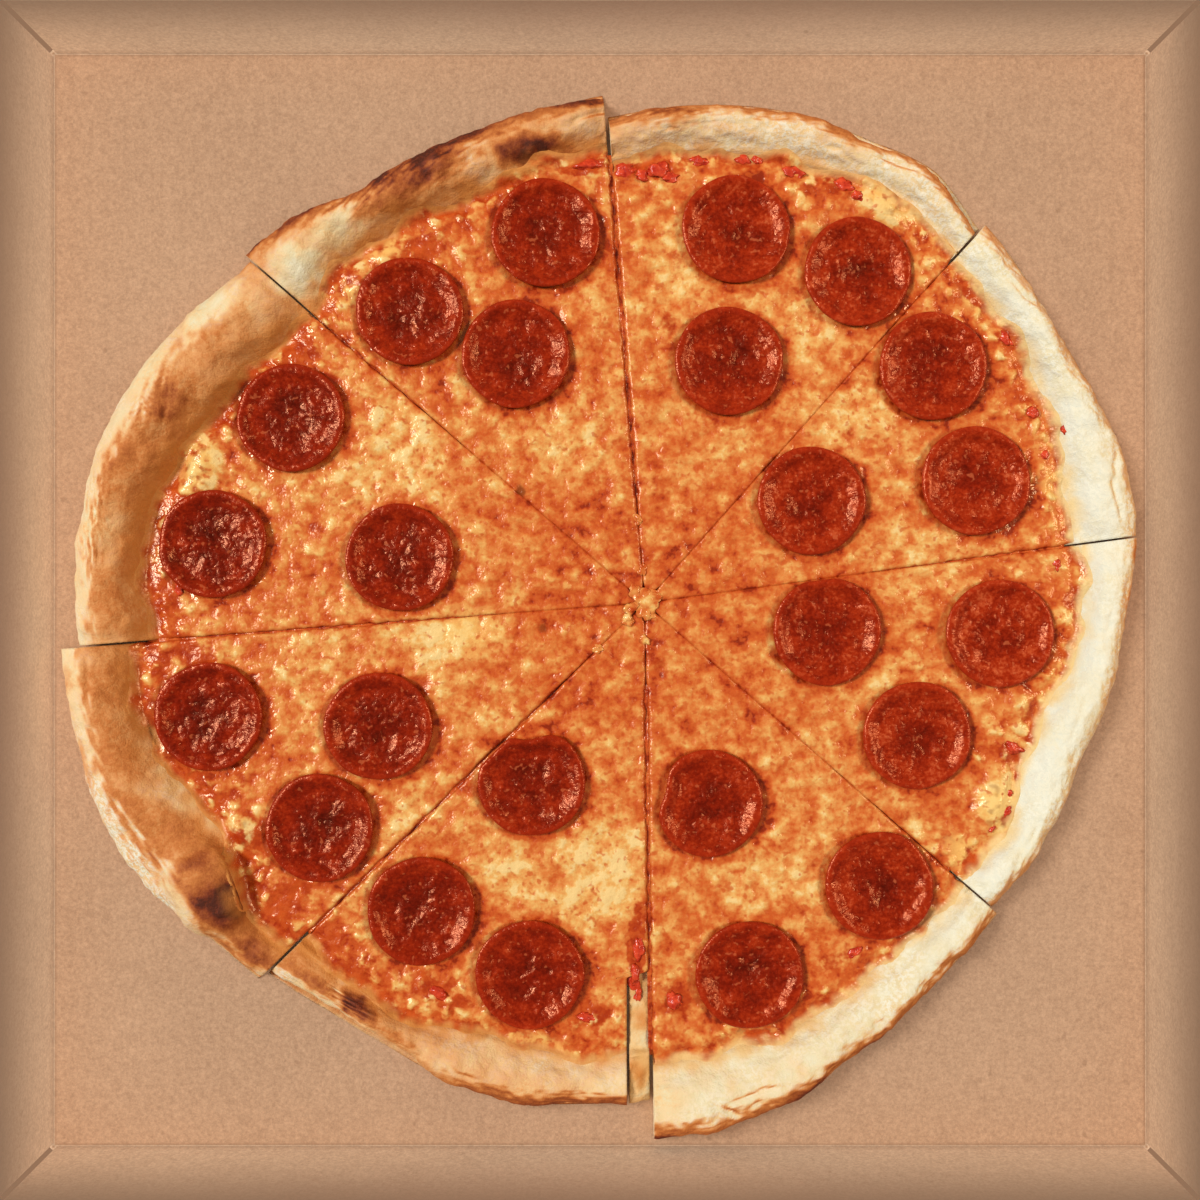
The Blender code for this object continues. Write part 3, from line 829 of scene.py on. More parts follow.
def crust_fields(points, cheese_line):
    """Where the dough is toasted, floury or stained by the sauce and oil next to it, with painted light and
    shade on its slopes.
    """
    angles, distances = from_centre(points)
    normals = surface_normals(points)
    bake = rim_tone(angles) + 0.05 * noise(points, 17 * MM, 11) + 0.05 * noise(points, 6 * MM, 12)
    for index, (angle, distance, length, width, turn, dark) in enumerate(BAKE_MARKS):
        bake = bake + 0.72 * dark * patch(points, angle, distance, length, width, turn, 0.7, 0.4, index)
    for angle, distance, length, width, turn, _, dark in BLISTERS:
        bake = bake + dark * patch(points, angle, distance, 0.8 * length, 0.8 * width, turn, 0.6, 0.3, 5)
    # Painted light and shade on the rim's slopes: inner slopes on the left and outer slopes away from the
    # light are baked darker, most on the lower right, and outer slopes on the left, facing the light,
    # lighter. The darker outer slopes are partly real toasting.
    inward = -(normals[..., :2] * direction(angles)).sum(-1)
    left = facing(angles, 165, 0.2, 0.95)
    bake = bake + left * 0.03 * ramp(inward, 0.0, 0.5)
    light_side = facing(angles, 192, 0.45, 0.85)
    bake = bake + (1 - light_side) * 0.29 * ramp(-inward, 0.05, 0.7)
    shaded_low_right = facing(angles, 288, 0.7, 0.97)
    bake = bake + 0.18 * shaded_low_right * ramp(-inward, 0.05, 0.6)
    bake = bake - 0.27 * light_side * ramp(-inward, 0.05, 0.5)
    leopard = sum(patch(points, *where, edge=0.7) for where in WRINKLES)
    turned = np.stack((np.radians(angles) * distances / 2.2, distances), axis=-1)
    bake = bake + 0.16 * np.clip(leopard, 0, 1) * noise(turned, 1.5 * MM, 14)
    under = ramp(-normals[..., 2], 0.1, 0.6)
    bake = bake + under * (0.10 + 0.10 * noise(points, 9 * MM, 15))
    right = facing(angles, 5, -0.2, 0.8)
    flour = 0.25 + 0.55 * right + 0.35 * noise(points, 11 * MM, 16) + 0.4 * under
    flour = flour + 0.7 * patch(points, 207, 210, 30, 7, 0, 0.6, 0.3, 3)
    flour = flour * (1 - ramp(bake, 0.25, 0.5))
    # The stain runs wider on the left, partly as painted shade on the left rim's inner slope.
    spread = (4.5 + 4.5 * left + 3.4 * noise(points[..., :2], 9 * MM, 17)) * MM
    stain = 1 - ramp(distances - cheese_line, 0.0, np.maximum(spread, 1.2 * MM))
    return {
        "bake": np.clip(bake, 0, 1),
        "flour": np.clip(flour, 0, 1),
        "stain": 0.85 * np.clip(stain, 0, 1) * (normals[..., 2] > 0.1),
    }


def cut_face(section, numbers):
    """Triangles filling one section, between its upper side and its lower side."""
    reaches = np.linalg.norm(section[:, :2] - section[0, :2], axis=1)
    outermost = int(np.argmax(reaches))
    upper = list(range(outermost + 1))
    lower = list(range(len(section) - 1, outermost - 1, -1))
    faces = []
    i = j = 0
    while i < len(upper) - 1 or j < len(lower) - 1:
        up_next = reaches[upper[i + 1]] if i < len(upper) - 1 else math.inf
        low_next = reaches[lower[j + 1]] if j < len(lower) - 1 else math.inf
        if up_next <= low_next:
            corners = (upper[i], lower[j], upper[i + 1])
            i += 1
        else:
            corners = (upper[i], lower[j], lower[j + 1])
            j += 1
        if len(set(corners)) == 3:
            faces.append([int(numbers[corner]) for corner in corners])
    return faces


def make_crust(piece, materials, sliver=False):
    """A slice's dough and rim as one closed piece, with its crumb showing on the cut faces."""
    points, to_cut, rimness = crust_sections(piece, sliver)
    points = shape_crust(points, rimness, to_cut)
    if sliver:
        crumpled = layered_noise(points, (0.9, 6, 20), (0.5, 2.5, 21))
        points[..., 2] += crumpled * ramp(points[..., 2], DOUGH_TOP - MM, DOUGH_TOP)
    angles, _ = piece.polar(points[..., :2])
    _, cheese, _ = piece.sizes(angles)
    fields = crust_fields(points, cheese + np.linalg.norm(piece.tip - CENTRE))
    columns, rows, _ = points.shape
    index = np.arange(columns * rows).reshape(columns, rows)
    faces = grid_faces(index[:, ::-1])
    skin = len(faces)
    faces.extend(cut_face(points[0], index[0]))
    faces.extend(cut_face(points[-1], index[-1]))
    if sliver:
        fields["stain"] = 0.85 + 0.3 * noise(points, 5 * MM, 18)
        fields["bake"] = 0.26 + 0.12 * noise(points, 7 * MM, 19)
        fields["flour"] = np.zeros(points.shape[:-1])
        faces.extend(grid_faces(np.stack((index[:, 0], index[:, -1]), axis=1)))
    face_materials = np.arange(len(faces)) >= skin
    name = "slice_6_sliver" if sliver else f"slice_{piece.number}_dough"
    made = new_object(name, points.reshape(-1, 3), faces, "tray", fields, materials, face_materials)
    tidy_mesh(made)
    for face in made.data.polygons:
        if face.material_index == 1:
            face.use_smooth = False
    if not sliver:
        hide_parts(f"slice_{piece.number}_crust")
    return made


# ------------------------------------------------------------------------------------------ the cheese

# Marks on the cheese: direction, distance, half length, half width, turn, and strength.
SAUCE_MARKS = (
    (97.5, 163.0, 9.0, 3.5, 0, 1.0),
    (122.0, 155.0, 13.0, 6.0, 0, 0.75),
    (86.0, 102.0, 4.5, 9.0, 0, 0.55),
    (143.5, 160.0, 7.0, 8.0, 0, 0.95),
    (163.0, 172.0, 9.0, 3.5, 0, 0.5),
    (212.0, 166.0, 10.0, 6.0, 0, 0.9),
    (219.5, 172.0, 7.0, 10.0, 0, 1.0),
    (203.0, 178.0, 9.0, 5.0, 0, 0.85),
    (242.0, 163.0, 12.0, 5.0, 0, 0.85),
    (262.5, 154.0, 9.0, 6.0, 0, 0.75),
    (268.6, 126.0, 3.2, 14.0, 0, 1.0),
    (274.5, 148.0, 6.0, 6.0, 0, 0.95),
    (299.0, 150.0, 10.0, 4.0, 0, 0.5),
    (337.5, 146.0, 4.0, 7.0, 0, 0.8),
    (345.0, 150.0, 7.0, 4.0, 0, 0.6),
    (353.5, 157.0, 5.0, 3.0, 0, 0.6),
    (28.0, 160.0, 12.0, 3.5, 0, 0.65),
    (36.0, 166.0, 7.0, 4.0, 0, 0.7),
    (89.0, 161.0, 12.0, 3.5, 0, 0.95),
    (78.0, 168.0, 12.0, 2.6, 0, 0.8),
    (66.0, 170.0, 10.0, 3.0, 0, 0.75),
    (187.5, 165.0, 8.0, 10.0, 0, 0.7),
    (179.0, 176.0, 7.0, 5.0, 0, 0.8),
    (300.0, 20.0, 14.0, 12.0, 0, 0.25),
    (95.0, 20.0, 10.0, 12.0, 0, 0.3),
)
CREAM_MARKS = (
    (260.0, 103.0, 14.0, 20.0, 0, 0.42),
    (243.0, 112.0, 13.0, 12.0, 0, 0.30),
    (148.0, 108.0, 16.0, 16.0, 0, 0.34),
    (157.0, 128.0, 10.0, 12.0, 0, 0.30),
    (190.0, 76.0, 9.0, 18.0, 0, 0.34),
    (291.0, 110.0, 12.0, 14.0, 0, 0.26),
    (300.0, 118.0, 5.0, 10.0, 0, 0.34),
    (117.0, 66.0, 10.0, 12.0, 0, 0.26),
    (60.0, 118.0, 14.0, 14.0, 0, 0.24),
    (85.0, 128.0, 8.0, 14.0, 0, 0.30),
    (42.0, 100.0, 10.0, 16.0, 0, 0.22),
    (10.0, 108.0, 10.0, 16.0, 0, 0.24),
    (343.0, 92.0, 10.0, 12.0, 0, 0.20),
    (320.0, 132.0, 7.0, 9.0, 0, 0.36),
    (59.0, 171.0, 9.0, 6.0, 0, 0.50),
    (209.5, 172.0, 6.0, 5.0, 0, 0.40),
    (163.0, 170.0, 11.0, 5.0, 0, 0.40),
    (330.4, 150.5, 9.0, 6.5, 25, 0.40),
    (222.0, 118.0, 8.0, 14.0, 0, 0.22),
)
GOLD_MARKS = (
    (125.5, 163.0, 7.0, 3.5, 0, 0.9),
    (133.0, 158.0, 4.0, 6.0, 0, 0.6),
    (59.0, 175.0, 8.0, 6.0, 0, 0.6),
    (330.4, 151.0, 9.0, 7.0, 0, 0.7),
    (322.0, 150.0, 5.0, 8.0, 0, 0.8),
    (188.0, 66.0, 8.0, 10.0, 0, 0.5),
    (163.0, 174.0, 12.0, 5.0, 0, 0.6),
    (43.0, 167.0, 6.0, 5.0, 0, 0.7),
    (17.0, 158.0, 5.0, 5.0, 0, 0.6),
    (350.0, 157.0, 7.0, 3.0, 0, 0.7),
    (283.0, 165.0, 9.0, 3.0, 0, 0.5),
    (256.0, 168.0, 12.0, 3.0, 0, 0.6),
)
# Cheese blown up into blisters: direction, distance, half length, half width, turn, height in millimetres.
CHEESE_BLISTERS = (
    (330.4, 150.5, 9.5, 6.5, 25, 3.0),
    (59.0, 174.0, 8.5, 6.5, 0, 2.6),
    (163.0, 172.5, 12.0, 6.0, 5, 2.4),
    (209.5, 172.5, 6.0, 5.5, 0, 2.6),
    (126.0, 162.0, 6.0, 4.0, 0, 1.6),
    (131.5, 157.0, 3.5, 6.0, 0, 1.4),
    (101.5, 166.5, 7.0, 3.0, 0, 1.2),
    (345.0, 143.0, 5.0, 4.0, 0, 1.3),
    (199.0, 176.0, 4.0, 4.0, 0, 1.2),
)
# Two small burnt specks.
BURNT_SPECKS = (
    (137.9, 62.0, 1.6, 2.0, 0, 0.9),
    (193.8, 38.9, 1.6, 1.4, 0, 0.7),
)


def pepperoni_places():
    """The middle of each pepperoni, by name: the point in its CAD node at the middle's own height."""
    places = {}
    for name in sorted(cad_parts):
        if name.startswith("pepperoni_"):
            points = node_points(name)
            level = CHEESE_TOP + REST_GAP + PEPPERONI_BASE
            places[name] = points[np.argmin(np.abs(points[:, 2] - level)), :2]
    return places


PEPPERONI = pepperoni_places()
CUT_LINES = []  # every cut's direction and half gap, filled in from the slices


def strongest(marks, places, edge=0.6, wobble=0.4):
    """The strongest of several marks at each place."""
    total = np.zeros(places.shape[:-1])
    for seed, (angle, distance, length, width, turn, strength) in enumerate(marks):
        mark = patch(places, angle, distance, length, width, turn, edge, wobble, seed)
        total = np.maximum(total, strength * mark)
    return total


def pepperoni_distance(places):
    """How far each place is from the middle of the nearest pepperoni."""
    nearest = np.full(places.shape[:-1], 1.0)
    for middle in PEPPERONI.values():
        nearest = np.minimum(nearest, np.linalg.norm(places[..., :2] - middle, axis=-1))
    return nearest


def cheese_surface(places, to_rim, to_cut):
    """The cheese's relief in metres over its even top, and its colour fields."""
    angles, distances = from_centre(places)
    bent = places + 1.5 * MM * np.stack((noise(places, 6 * MM, 21), noise(places, 6 * MM, 22)), axis=-1)
    lumpy = ramp(26 * MM - to_rim + 12 * MM * noise(places, 20 * MM, 23), -6 * MM, 20 * MM)
    broad = rough_noise(places, 17 * MM, 2, 24)
    flow = rough_noise(bent, 6.5 * MM, 2, 25)
    clustered = 0.25 * noise(places, 13 * MM, 26)
    nearest, own = dots(bent, 5.2 * MM, 1)
    curd = np.clip(1 - (nearest / (0.26 + 0.24 * own)) ** 2, 0, 1) ** 0.8
    curd = curd * ramp(own + clustered, 0.40, 0.70)
    nearest, own = dots(bent, 2.7 * MM, 2)
    grain = np.clip(1 - (nearest / 0.45) ** 2, 0, 1) * ramp(own + clustered, 0.45, 0.75)
    relief = 0.28 * broad + 0.36 * flow + (0.12 + 0.68 * lumpy) * curd + (0.08 + 0.14 * lumpy) * grain - 0.3
    blister = np.zeros(relief.shape)
    for angle, distance, length, width, turn, height in CHEESE_BLISTERS:
        swelling = patch(places, angle, distance, length, width, turn, 0.95, 0.10, 3)
        blister = np.maximum(blister, height * swelling)
    inside = ramp(to_rim, 0.0, 7 * MM)
    relief = relief * inside * (1 - 0.6 * ramp(blister, 0.2, 1.0))
    relief = (relief + blister * ramp(to_rim, 0.0, 2.5 * MM)) * MM
    from_meat = pepperoni_distance(places) - PEPPERONI_RADIUS
    # An oil halo round each pepperoni, shifted toward the lower right as a painted cast shadow.
    beside = pepperoni_distance(places - np.array((1.8, -1.2)) * MM) - PEPPERONI_RADIUS
    halo_and_shadow = 1 - ramp(beside + 1.3 * MM * noise(places, 5 * MM, 31), 0.2 * MM, 3.6 * MM)
    sauce = strongest(SAUCE_MARKS, places)
    # Near the rim the sauce is stronger and wider on the left, partly as painted shade from the left rim.
    left = facing(angles, 175, 0.1, 0.85)
    reach = (13 + 12 * left) * MM * (1 + 0.5 * noise(places, 12 * MM, 27))
    ring = 1 - ramp(to_rim, 1.0 * MM, reach)
    sauce = np.maximum(sauce, (0.56 + 0.24 * left) * ring + 0.55 * noise(places, 8 * MM, 28) * ring)
    sauce = sauce + 0.36 * ramp(rough_noise(places, 9 * MM, 2, 29), 0.15, 0.9) - 0.28 * curd - 0.10 * grain
    sauce = sauce - 0.25 * ramp(blister, 0.2, 1.2) + 0.10 * halo_and_shadow
    cream = strongest(CREAM_MARKS, places)
    melt = 0.53 + 0.12 * rough_noise(places, 24 * MM, 2, 30) + 0.16 * rough_noise(places, 7 * MM, 2, 34)
    melt = melt - 0.10 * flow - (0.20 + 0.36 * lumpy) * curd - (0.05 + 0.14 * lumpy) * grain - cream
    # The 0.10 * left * lumpy term paints shade on the cheese near the left rim.
    melt = melt + 0.14 * (1 - ramp(distances, 20 * MM, 75 * MM)) + 0.10 * lumpy + 0.10 * left * lumpy
    melt = melt + 0.32 * halo_and_shadow - 0.22 * ramp(blister, 0.2, 1.2)
    oil = 0.45 * halo_and_shadow + 0.35 * ring + 0.25 * noise(places, 10 * MM, 32)
    gold = strongest(GOLD_MARKS, places)
    toast = 0.45 * ramp(blister, 0.8, 2.0) * ramp(noise(places, 2.6 * MM, 33), 0.2, 0.8)
    toast = np.maximum(toast, strongest(BURNT_SPECKS, places, 0.4, 0.3))
    edge = 1 - ramp(to_cut, 0.0, 1.1 * MM)
    relief = relief - 0.75 * MM * edge**2
    covered = 1 - ramp(from_meat, -2.5 * MM, -0.2 * MM)
    relief = relief * (1 - covered) - 0.7 * MM * covered
    relief = relief - 0.15 * MM * halo_and_shadow * (1 - covered)
    fields = {"melt": melt, "sauce": sauce, "gold": gold, "toast": toast, "oil": oil}
    return relief, {name: np.clip(value, 0, 1) for name, value in fields.items()}


# How far out from the middle the cheese has run together again over each cut: (direction, near, far) in
# millimetres. It is closed up to near, and open from far on.
CUTS_CLOSED = (
    (7.7, 70, 130),
    (48.1, 150, 178),
    (94.5, 8, 70),
    (139.05, 60, 140),
    (184.4, 40, 85),
    (224.4, 8, 75),
    (270.8, 6, 40),
    (318.7, 80, 168),
)


def cut_closed(cut, reaches):
    """How far the cheese closes a cut at each reach, from 0 to 1."""
    for angle, near, far in CUTS_CLOSED:
        if abs((cut - angle + 180) % 360 - 180) < 1:
            along = direction(angle) * reaches[:, None]
            return 1 - ramp(reaches + 16 * MM * noise(along, 11 * MM, 42), near * MM, far * MM)
    return np.zeros(reaches.shape)


def dough_level(crust, places, otherwise):
    """How high the finished dough lies at each place, or the other value beside it."""
    corners = [vertex.co for vertex in crust.data.vertices]
    tree = BVHTree.FromPolygons(corners, [face.vertices for face in crust.data.polygons])
    level = otherwise.copy()
    for number, (x, y) in enumerate(places):
        hit = tree.ray_cast(Vector((x, y, 0.06)), Vector((0, 0, -1)))[0]
        if hit:
            level[number] = hit.z
    return level


def spreading_rows(steps):
    """A triangle of points with one more in each row. Returns each point's row and column, the triangles
    between them, and the points along the border."""
    row = np.concatenate([np.full(count + 1, count) for count in range(steps + 1)])
    column = np.concatenate([np.arange(count + 1) for count in range(steps + 1)])
    first_of = np.array([count * (count + 1) // 2 for count in range(steps + 2)])
    inner = np.arange(len(row))[row < steps]
    below = first_of[row[inner] + 1] + column[inner]
    faces = np.stack((inner, below, below + 1), axis=1).tolist()
    between = inner[column[inner] < row[inner]]
    over = first_of[row[between] + 1] + column[between] + 1
    faces += np.stack((between, over, between + 1), axis=1).tolist()
    outermost = first_of[steps] + np.arange(steps + 1)
    one_side = first_of[:steps]
    other_side = (first_of[1 : steps + 1] - 1)[::-1]
    return row, column, faces, np.concatenate((one_side, outermost, other_side[:-1]))


def make_cheese(piece, material, crust):
    """A slice's cheese: a fine sheet of triangles spreading from the tip, closed by a skirt and a base."""
    steps = int(max(piece.cheese) / CHEESE_STEP)
    row, column, faces, border = spreading_rows(steps)
    share = column / np.maximum(row, 1)
    reach = row / steps
    sweep = np.full(row.shape, np.mean(piece.cheese)) * reach
    start, stop = first_angle(piece, sweep, False), last_angle(piece, sweep, False)
    angles = start + (stop - start) * share
    rim, cheese, height = piece.sizes(angles)
    at_edge = piece.places(angles, cheese)
    edge = cheese + 1.6 * MM + 3.0 * MM * noise(at_edge, 15 * MM, 40)
    edge = edge + 0.4 * MM * noise(at_edge, 5 * MM, 41)
    reaches = reach * edge
    start, stop = first_angle(piece, reaches, False), last_angle(piece, reaches, False)
    angles = start + (stop - start) * share
    places = piece.places(angles, reaches)
    to_cut = np.radians(np.minimum(angles - start, stop - angles)) * reaches
    to_rim = edge - reaches
    relief, fields = cheese_surface(places, to_rim, to_cut)
    at_border = 1 - ramp(to_rim + 1.6 * MM * noise(places, 4 * MM, 44), 0.8 * MM, 5.0 * MM)
    fields["border"] = 0.95 * at_border * (1 - strongest(CREAM_MARKS, places))
    fields["tan"] = rim_tone(from_centre(places)[0])
    for cut, half_gap, sign in ((piece.start, piece.half_gaps[0], -1), (piece.stop, piece.half_gaps[1], 1)):
        from_this = np.radians(np.abs(angles - cut)) * reaches
        closed = cut_closed(cut % 360, reaches)
        near_cut = np.exp(-from_this / (1.2 * MM)) * ramp(reaches, 2 * MM, 9 * MM)
        ragged = 0.30 * MM * noise(places, 3.4 * MM, 43 + sign) * ramp(reaches, 20 * MM, 40 * MM)
        creep = closed * (half_gap + 0.04 * MM) + (1 - closed) * np.minimum(ragged, half_gap)
        places = places + sign * (creep * near_cut)[:, None] * direction(cut + 90)
        relief = relief + 0.55 * MM * closed * np.clip(1 - from_this / (1.1 * MM), 0, 1) ** 2
        # Painted shade along each cut: the cheese is darker right beside it.
        fields["melt"] = np.clip(fields["melt"] + 0.18 * np.exp(-from_this / (0.8 * MM)), 0, 1)
    width = rim - cheese
    out, up = RIM_SHOULDER
    past = reaches - cheese
    floor = DOUGH_TOP + FOOT_RISE * ramp(past, -RIM_FOOT - 0.5 * MM, 0.3 * MM)
    shoulder = np.maximum(DOUGH_TOP + FOOT_RISE, DOUGH_BOTTOM + up * height)
    floor = floor + (shoulder - DOUGH_TOP - FOOT_RISE) * np.clip(past / (out * width), 0, 1.4)
    near_rim = to_rim < 24 * MM
    floor[near_rim] = dough_level(crust, places[near_rim], floor[near_rim])
    depth = (CHEESE_TOP - DOUGH_TOP) * ramp(to_rim, 0.0, 9 * MM)
    depth = depth - 0.14 * MM * (1 - ramp(to_rim, 0.0, 2.2 * MM))
    level = floor + depth + relief
    level = np.where(to_rim < 1e-6, floor - 0.6 * MM, level)
    level = np.maximum(level, DOUGH_TOP - 0.4 * MM)

    points = np.column_stack((places, level))
    lower = points[border].copy()
    lower[:, 2] = DOUGH_TOP - 1.0 * MM
    base = np.append(lower.mean(axis=0)[:2], DOUGH_TOP - 1.0 * MM)
    count = len(border)
    ring = len(points) + np.arange(count)
    faces += np.stack((np.roll(border, -1), border, ring, np.roll(ring, -1)), axis=1).tolist()
    faces += fan(len(points) + count, np.roll(ring, -1), ring)
    points = np.concatenate((points, lower, base[None]))
    for name, values in fields.items():
        extra = np.append(values[border], 0.5)
        fields[name] = np.concatenate((values, extra))
    made = new_object(f"slice_{piece.number}_melt", points, faces, "tray", fields, (material,))
    tidy_mesh(made)
    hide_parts(f"slice_{piece.number}_cheese")
    return made


# --------------------------------------------------------------------------------------- the pepperoni

PEPPERONI_RINGS = 24
PEPPERONI_SPOKES = 96
# The lumps of its top: heights and sizes in millimetres.
PEPPERONI_LUMPS = ((0.40, 12), (0.34, 5), (0.20, 2.3), (0.08, 1.3))
# Its side, from the lip down: share of the radius, and drop below the lip in millimetres.
PEPPERONI_SIDE = ((1.012, 0.35), (1.012, 0.85), (0.985, 1.5), (0.93, 2.1))
# Bites of cheese over two of the discs: which disc, direction, and depth in millimetres.
COVERED = {"pepperoni_16": (95.0, 4.2), "pepperoni_19": (165.0, 3.6)}


def room_to_cuts(middle, circle):
    """How far a disc can reach in each direction before it comes to one of the cuts."""
    room = np.full(len(circle), 1.0)
    for cut, half_gap in CUT_LINES:
        along = direction(cut)
        side = np.cross(along, middle - CENTRE)
        if np.dot(along, middle - CENTRE) < 0:
            continue
        closing = -np.sign(side) * np.cross(along, circle)
        distance = abs(side) - half_gap - 0.2 * MM
        room = np.minimum(room, np.where(closing > 1e-6, distance / np.maximum(closing, 1e-6), 1.0))
    return room


def make_pepperoni(number, name, middle, material):
    """A cupped disc: a dimpled middle, a curled lip that varies round it, and a thin edge, with painted
    shade in its hollow.
    """
    spokes = np.linspace(0, 2 * math.pi, PEPPERONI_SPOKES, endpoint=False)
    rings = np.linspace(0, 1, PEPPERONI_RINGS) ** 0.85
    circle = direction(np.degrees(spokes))
    seed = 50 + number
    around = noise(circle, 0.9, seed)
    radius = PEPPERONI_RADIUS * (0.975 + 0.022 * around)
    if name in COVERED:
        toward, depth = COVERED[name]
        bite = np.exp(-(((np.degrees(spokes) - toward + 180) % 360 - 180) / 26) ** 2)
        radius = radius - depth * MM * bite
    radius = np.minimum(radius, room_to_cuts(middle, circle))
    share = rings[1:, None]
    flat = middle + circle * (share * radius)[..., None]
    lip = (1.9 + 0.5 * around) * MM * ramp(share, 0.66, 0.95) - 0.35 * MM * ramp(share, 0.95, 1.0)
    layers = enumerate(PEPPERONI_LUMPS, start=seed)
    cup = layered_noise(flat, *((height, size, layer) for layer, (height, size) in layers))
    dimple_at = middle + direction(73.0 * number) * 4 * MM
    dimple = np.exp(-((np.linalg.norm(flat - dimple_at, axis=-1) / (6 * MM)) ** 2))
    top = CHEESE_TOP + REST_GAP + 0.9 * MM
    level = top + lip + cup * (1 - 0.6 * ramp(share, 0.8, 1.0)) - 0.9 * MM * dimple - 0.35 * MM
    level = np.minimum(level, CHEESE_TOP + 2.7 * MM)
    upper = np.concatenate((flat, level[..., None]), axis=-1)
    side = [
        np.column_stack((middle + circle * (out * radius)[:, None], level[-1] - drop * MM))
        for out, drop in PEPPERONI_SIDE
    ]
    rows = np.concatenate((upper, np.stack(side)))
    centre_level = level[0].mean()
    floor = CHEESE_TOP - 0.75 * MM
    rows[-1, :, 2] = floor
    points = np.concatenate((rows.reshape(-1, 3), [[*middle, centre_level], [*middle, floor]]))
    count = PEPPERONI_SPOKES
    index = np.arange(len(rows) * count).reshape(len(rows), count)
    index = np.concatenate((index, index[:, :1]), axis=1)
    faces = grid_faces(index)
    top_middle, base_middle = len(points) - 2, len(points) - 1
    faces += fan(top_middle, index[0, :-1], index[0, 1:])
    faces += fan(base_middle, index[-1, 1:], index[-1, :-1])
    # Painted shade in the cup: darker toward its hollow middle and in the dimple.
    middle_painted_shade = 0.45 * dimple + 0.55 * (1 - ramp(share, 0.15, 0.75))
    side_share = np.ones((len(PEPPERONI_SIDE), PEPPERONI_SPOKES))
    deep = np.concatenate((middle_painted_shade, 0 * side_share)).ravel()
    rim_share = np.broadcast_to(ramp(share, 0.86, 0.98), dimple.shape)
    lips = np.concatenate((rim_share, side_share)).ravel()
    # Painted light and shade: discs further right are lighter and those on the left darker, with a little
    # tone of their own.
    pale = np.full(len(deep) + 2, 0.5 + 0.5 * middle[0] / (130 * MM) + 0.1 * math.sin(5.0 * number))
    fields = {"deep": np.append(deep, (1.0, 0.0)), "lip": np.append(lips, (0.0, 0.0)), "pale": pale}
    made = new_object(f"{name}_disc", points, faces, "tray", fields, (material,))
    tidy_mesh(made)
    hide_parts(name)
    return made


# Lumps of tomato: direction, distance, and half length and half width in millimetres.
TOMATO = (
    (92.6, 160.5, 3.2, 2.4),
    (90.3, 158.5, 2.2, 1.8),
    (88.2, 160.5, 3.6, 2.6),
    (86.6, 158.0, 2.4, 1.8),
    (82.9, 165.3, 3.4, 1.7),
    (77.4, 169.0, 2.6, 1.7),
    (75.8, 169.6, 1.8, 1.4),
    (71.0, 168.7, 3.6, 1.9),
    (64.4, 171.5, 3.2, 2.2),
    (62.4, 170.0, 1.8, 1.6),
    (26.1, 159.8, 2.0, 1.6),
    (20.3, 158.0, 1.5, 1.4),
    (22.4, 167.2, 1.3, 1.0),
    (5.3, 153.5, 1.6, 1.3),
    (97.6, 163.5, 4.6, 1.6),
    (338.5, 146.5, 1.6, 3.0),
    (330.0, 154.5, 1.8, 1.1),
    (327.0, 153.0, 1.2, 0.9),
    (332.5, 152.0, 1.0, 1.2),
    (262.0, 155.0, 3.0, 1.6),
    (274.2, 147.5, 2.4, 2.6),
    (242.0, 163.5, 3.2, 1.7),
    (268.9, 128.0, 1.6, 3.6),
    (268.5, 137.0, 1.5, 3.0),
    (268.4, 140.5, 2.0, 3.4),
    (269.0, 146.0, 1.3, 2.6),
    (301.0, 151.0, 2.4, 1.4),
    (36.2, 165.5, 2.8, 1.5),
    (178.0, 172.5, 2.4, 1.8),
)


# Scraps of cheese over the cuts: direction, distance, and half length and half width in millimetres.
SCRAPS = (
    (0.0, 0.6, 5.0, 3.6),
    (40.0, 4.5, 3.4, 2.0),
    (130.0, 5.0, 3.0, 2.2),
    (200.0, 5.5, 3.2, 1.8),
    (285.0, 4.0, 2.6, 2.4),
    (94.5, 12.0, 1.6, 2.2),
    (94.5, 31.0, 1.3, 2.0),
    (270.8, 14.0, 1.5, 1.8),
    (224.4, 24.0, 1.6, 1.9),
    (224.4, 9.0, 2.2, 2.0),
)


def ground_under(place):
    """How high the cheese or dough lies at a place, by looking down on the finished pieces."""
    start = Vector((place[0], place[1], 0.05))
    hit, where, _, _, _, _ = bpy.context.scene.ray_cast(
        bpy.context.evaluated_depsgraph_get(), start, Vector((0, 0, -1))
    )
    return where.z if hit else CHEESE_TOP


def lump(middle, level, sizes, degrees, subdivisions, swellings, seed):
    """A ball of those half sizes in millimetres, turned and pressed out of shape. Each swelling is a height
    and a size, in ball radii."""
    form = bmesh.new()
    bmesh.ops.create_icosphere(form, subdivisions=subdivisions, radius=1.0)
    points = np.array([vertex.co for vertex in form.verts])
    faces = [[vertex.index for vertex in face.verts] for face in form.faces]
    form.free()
    swell = 1 + sum(
        height * noise(points, size, seed + step) for step, (height, size) in enumerate(swellings)
    )
    turn = np.array(Matrix.Rotation(math.radians(degrees), 3, "Z"))
    points = points * swell[:, None] * np.array(sizes) * MM
    return points @ turn.T + np.array((*middle, level)), faces


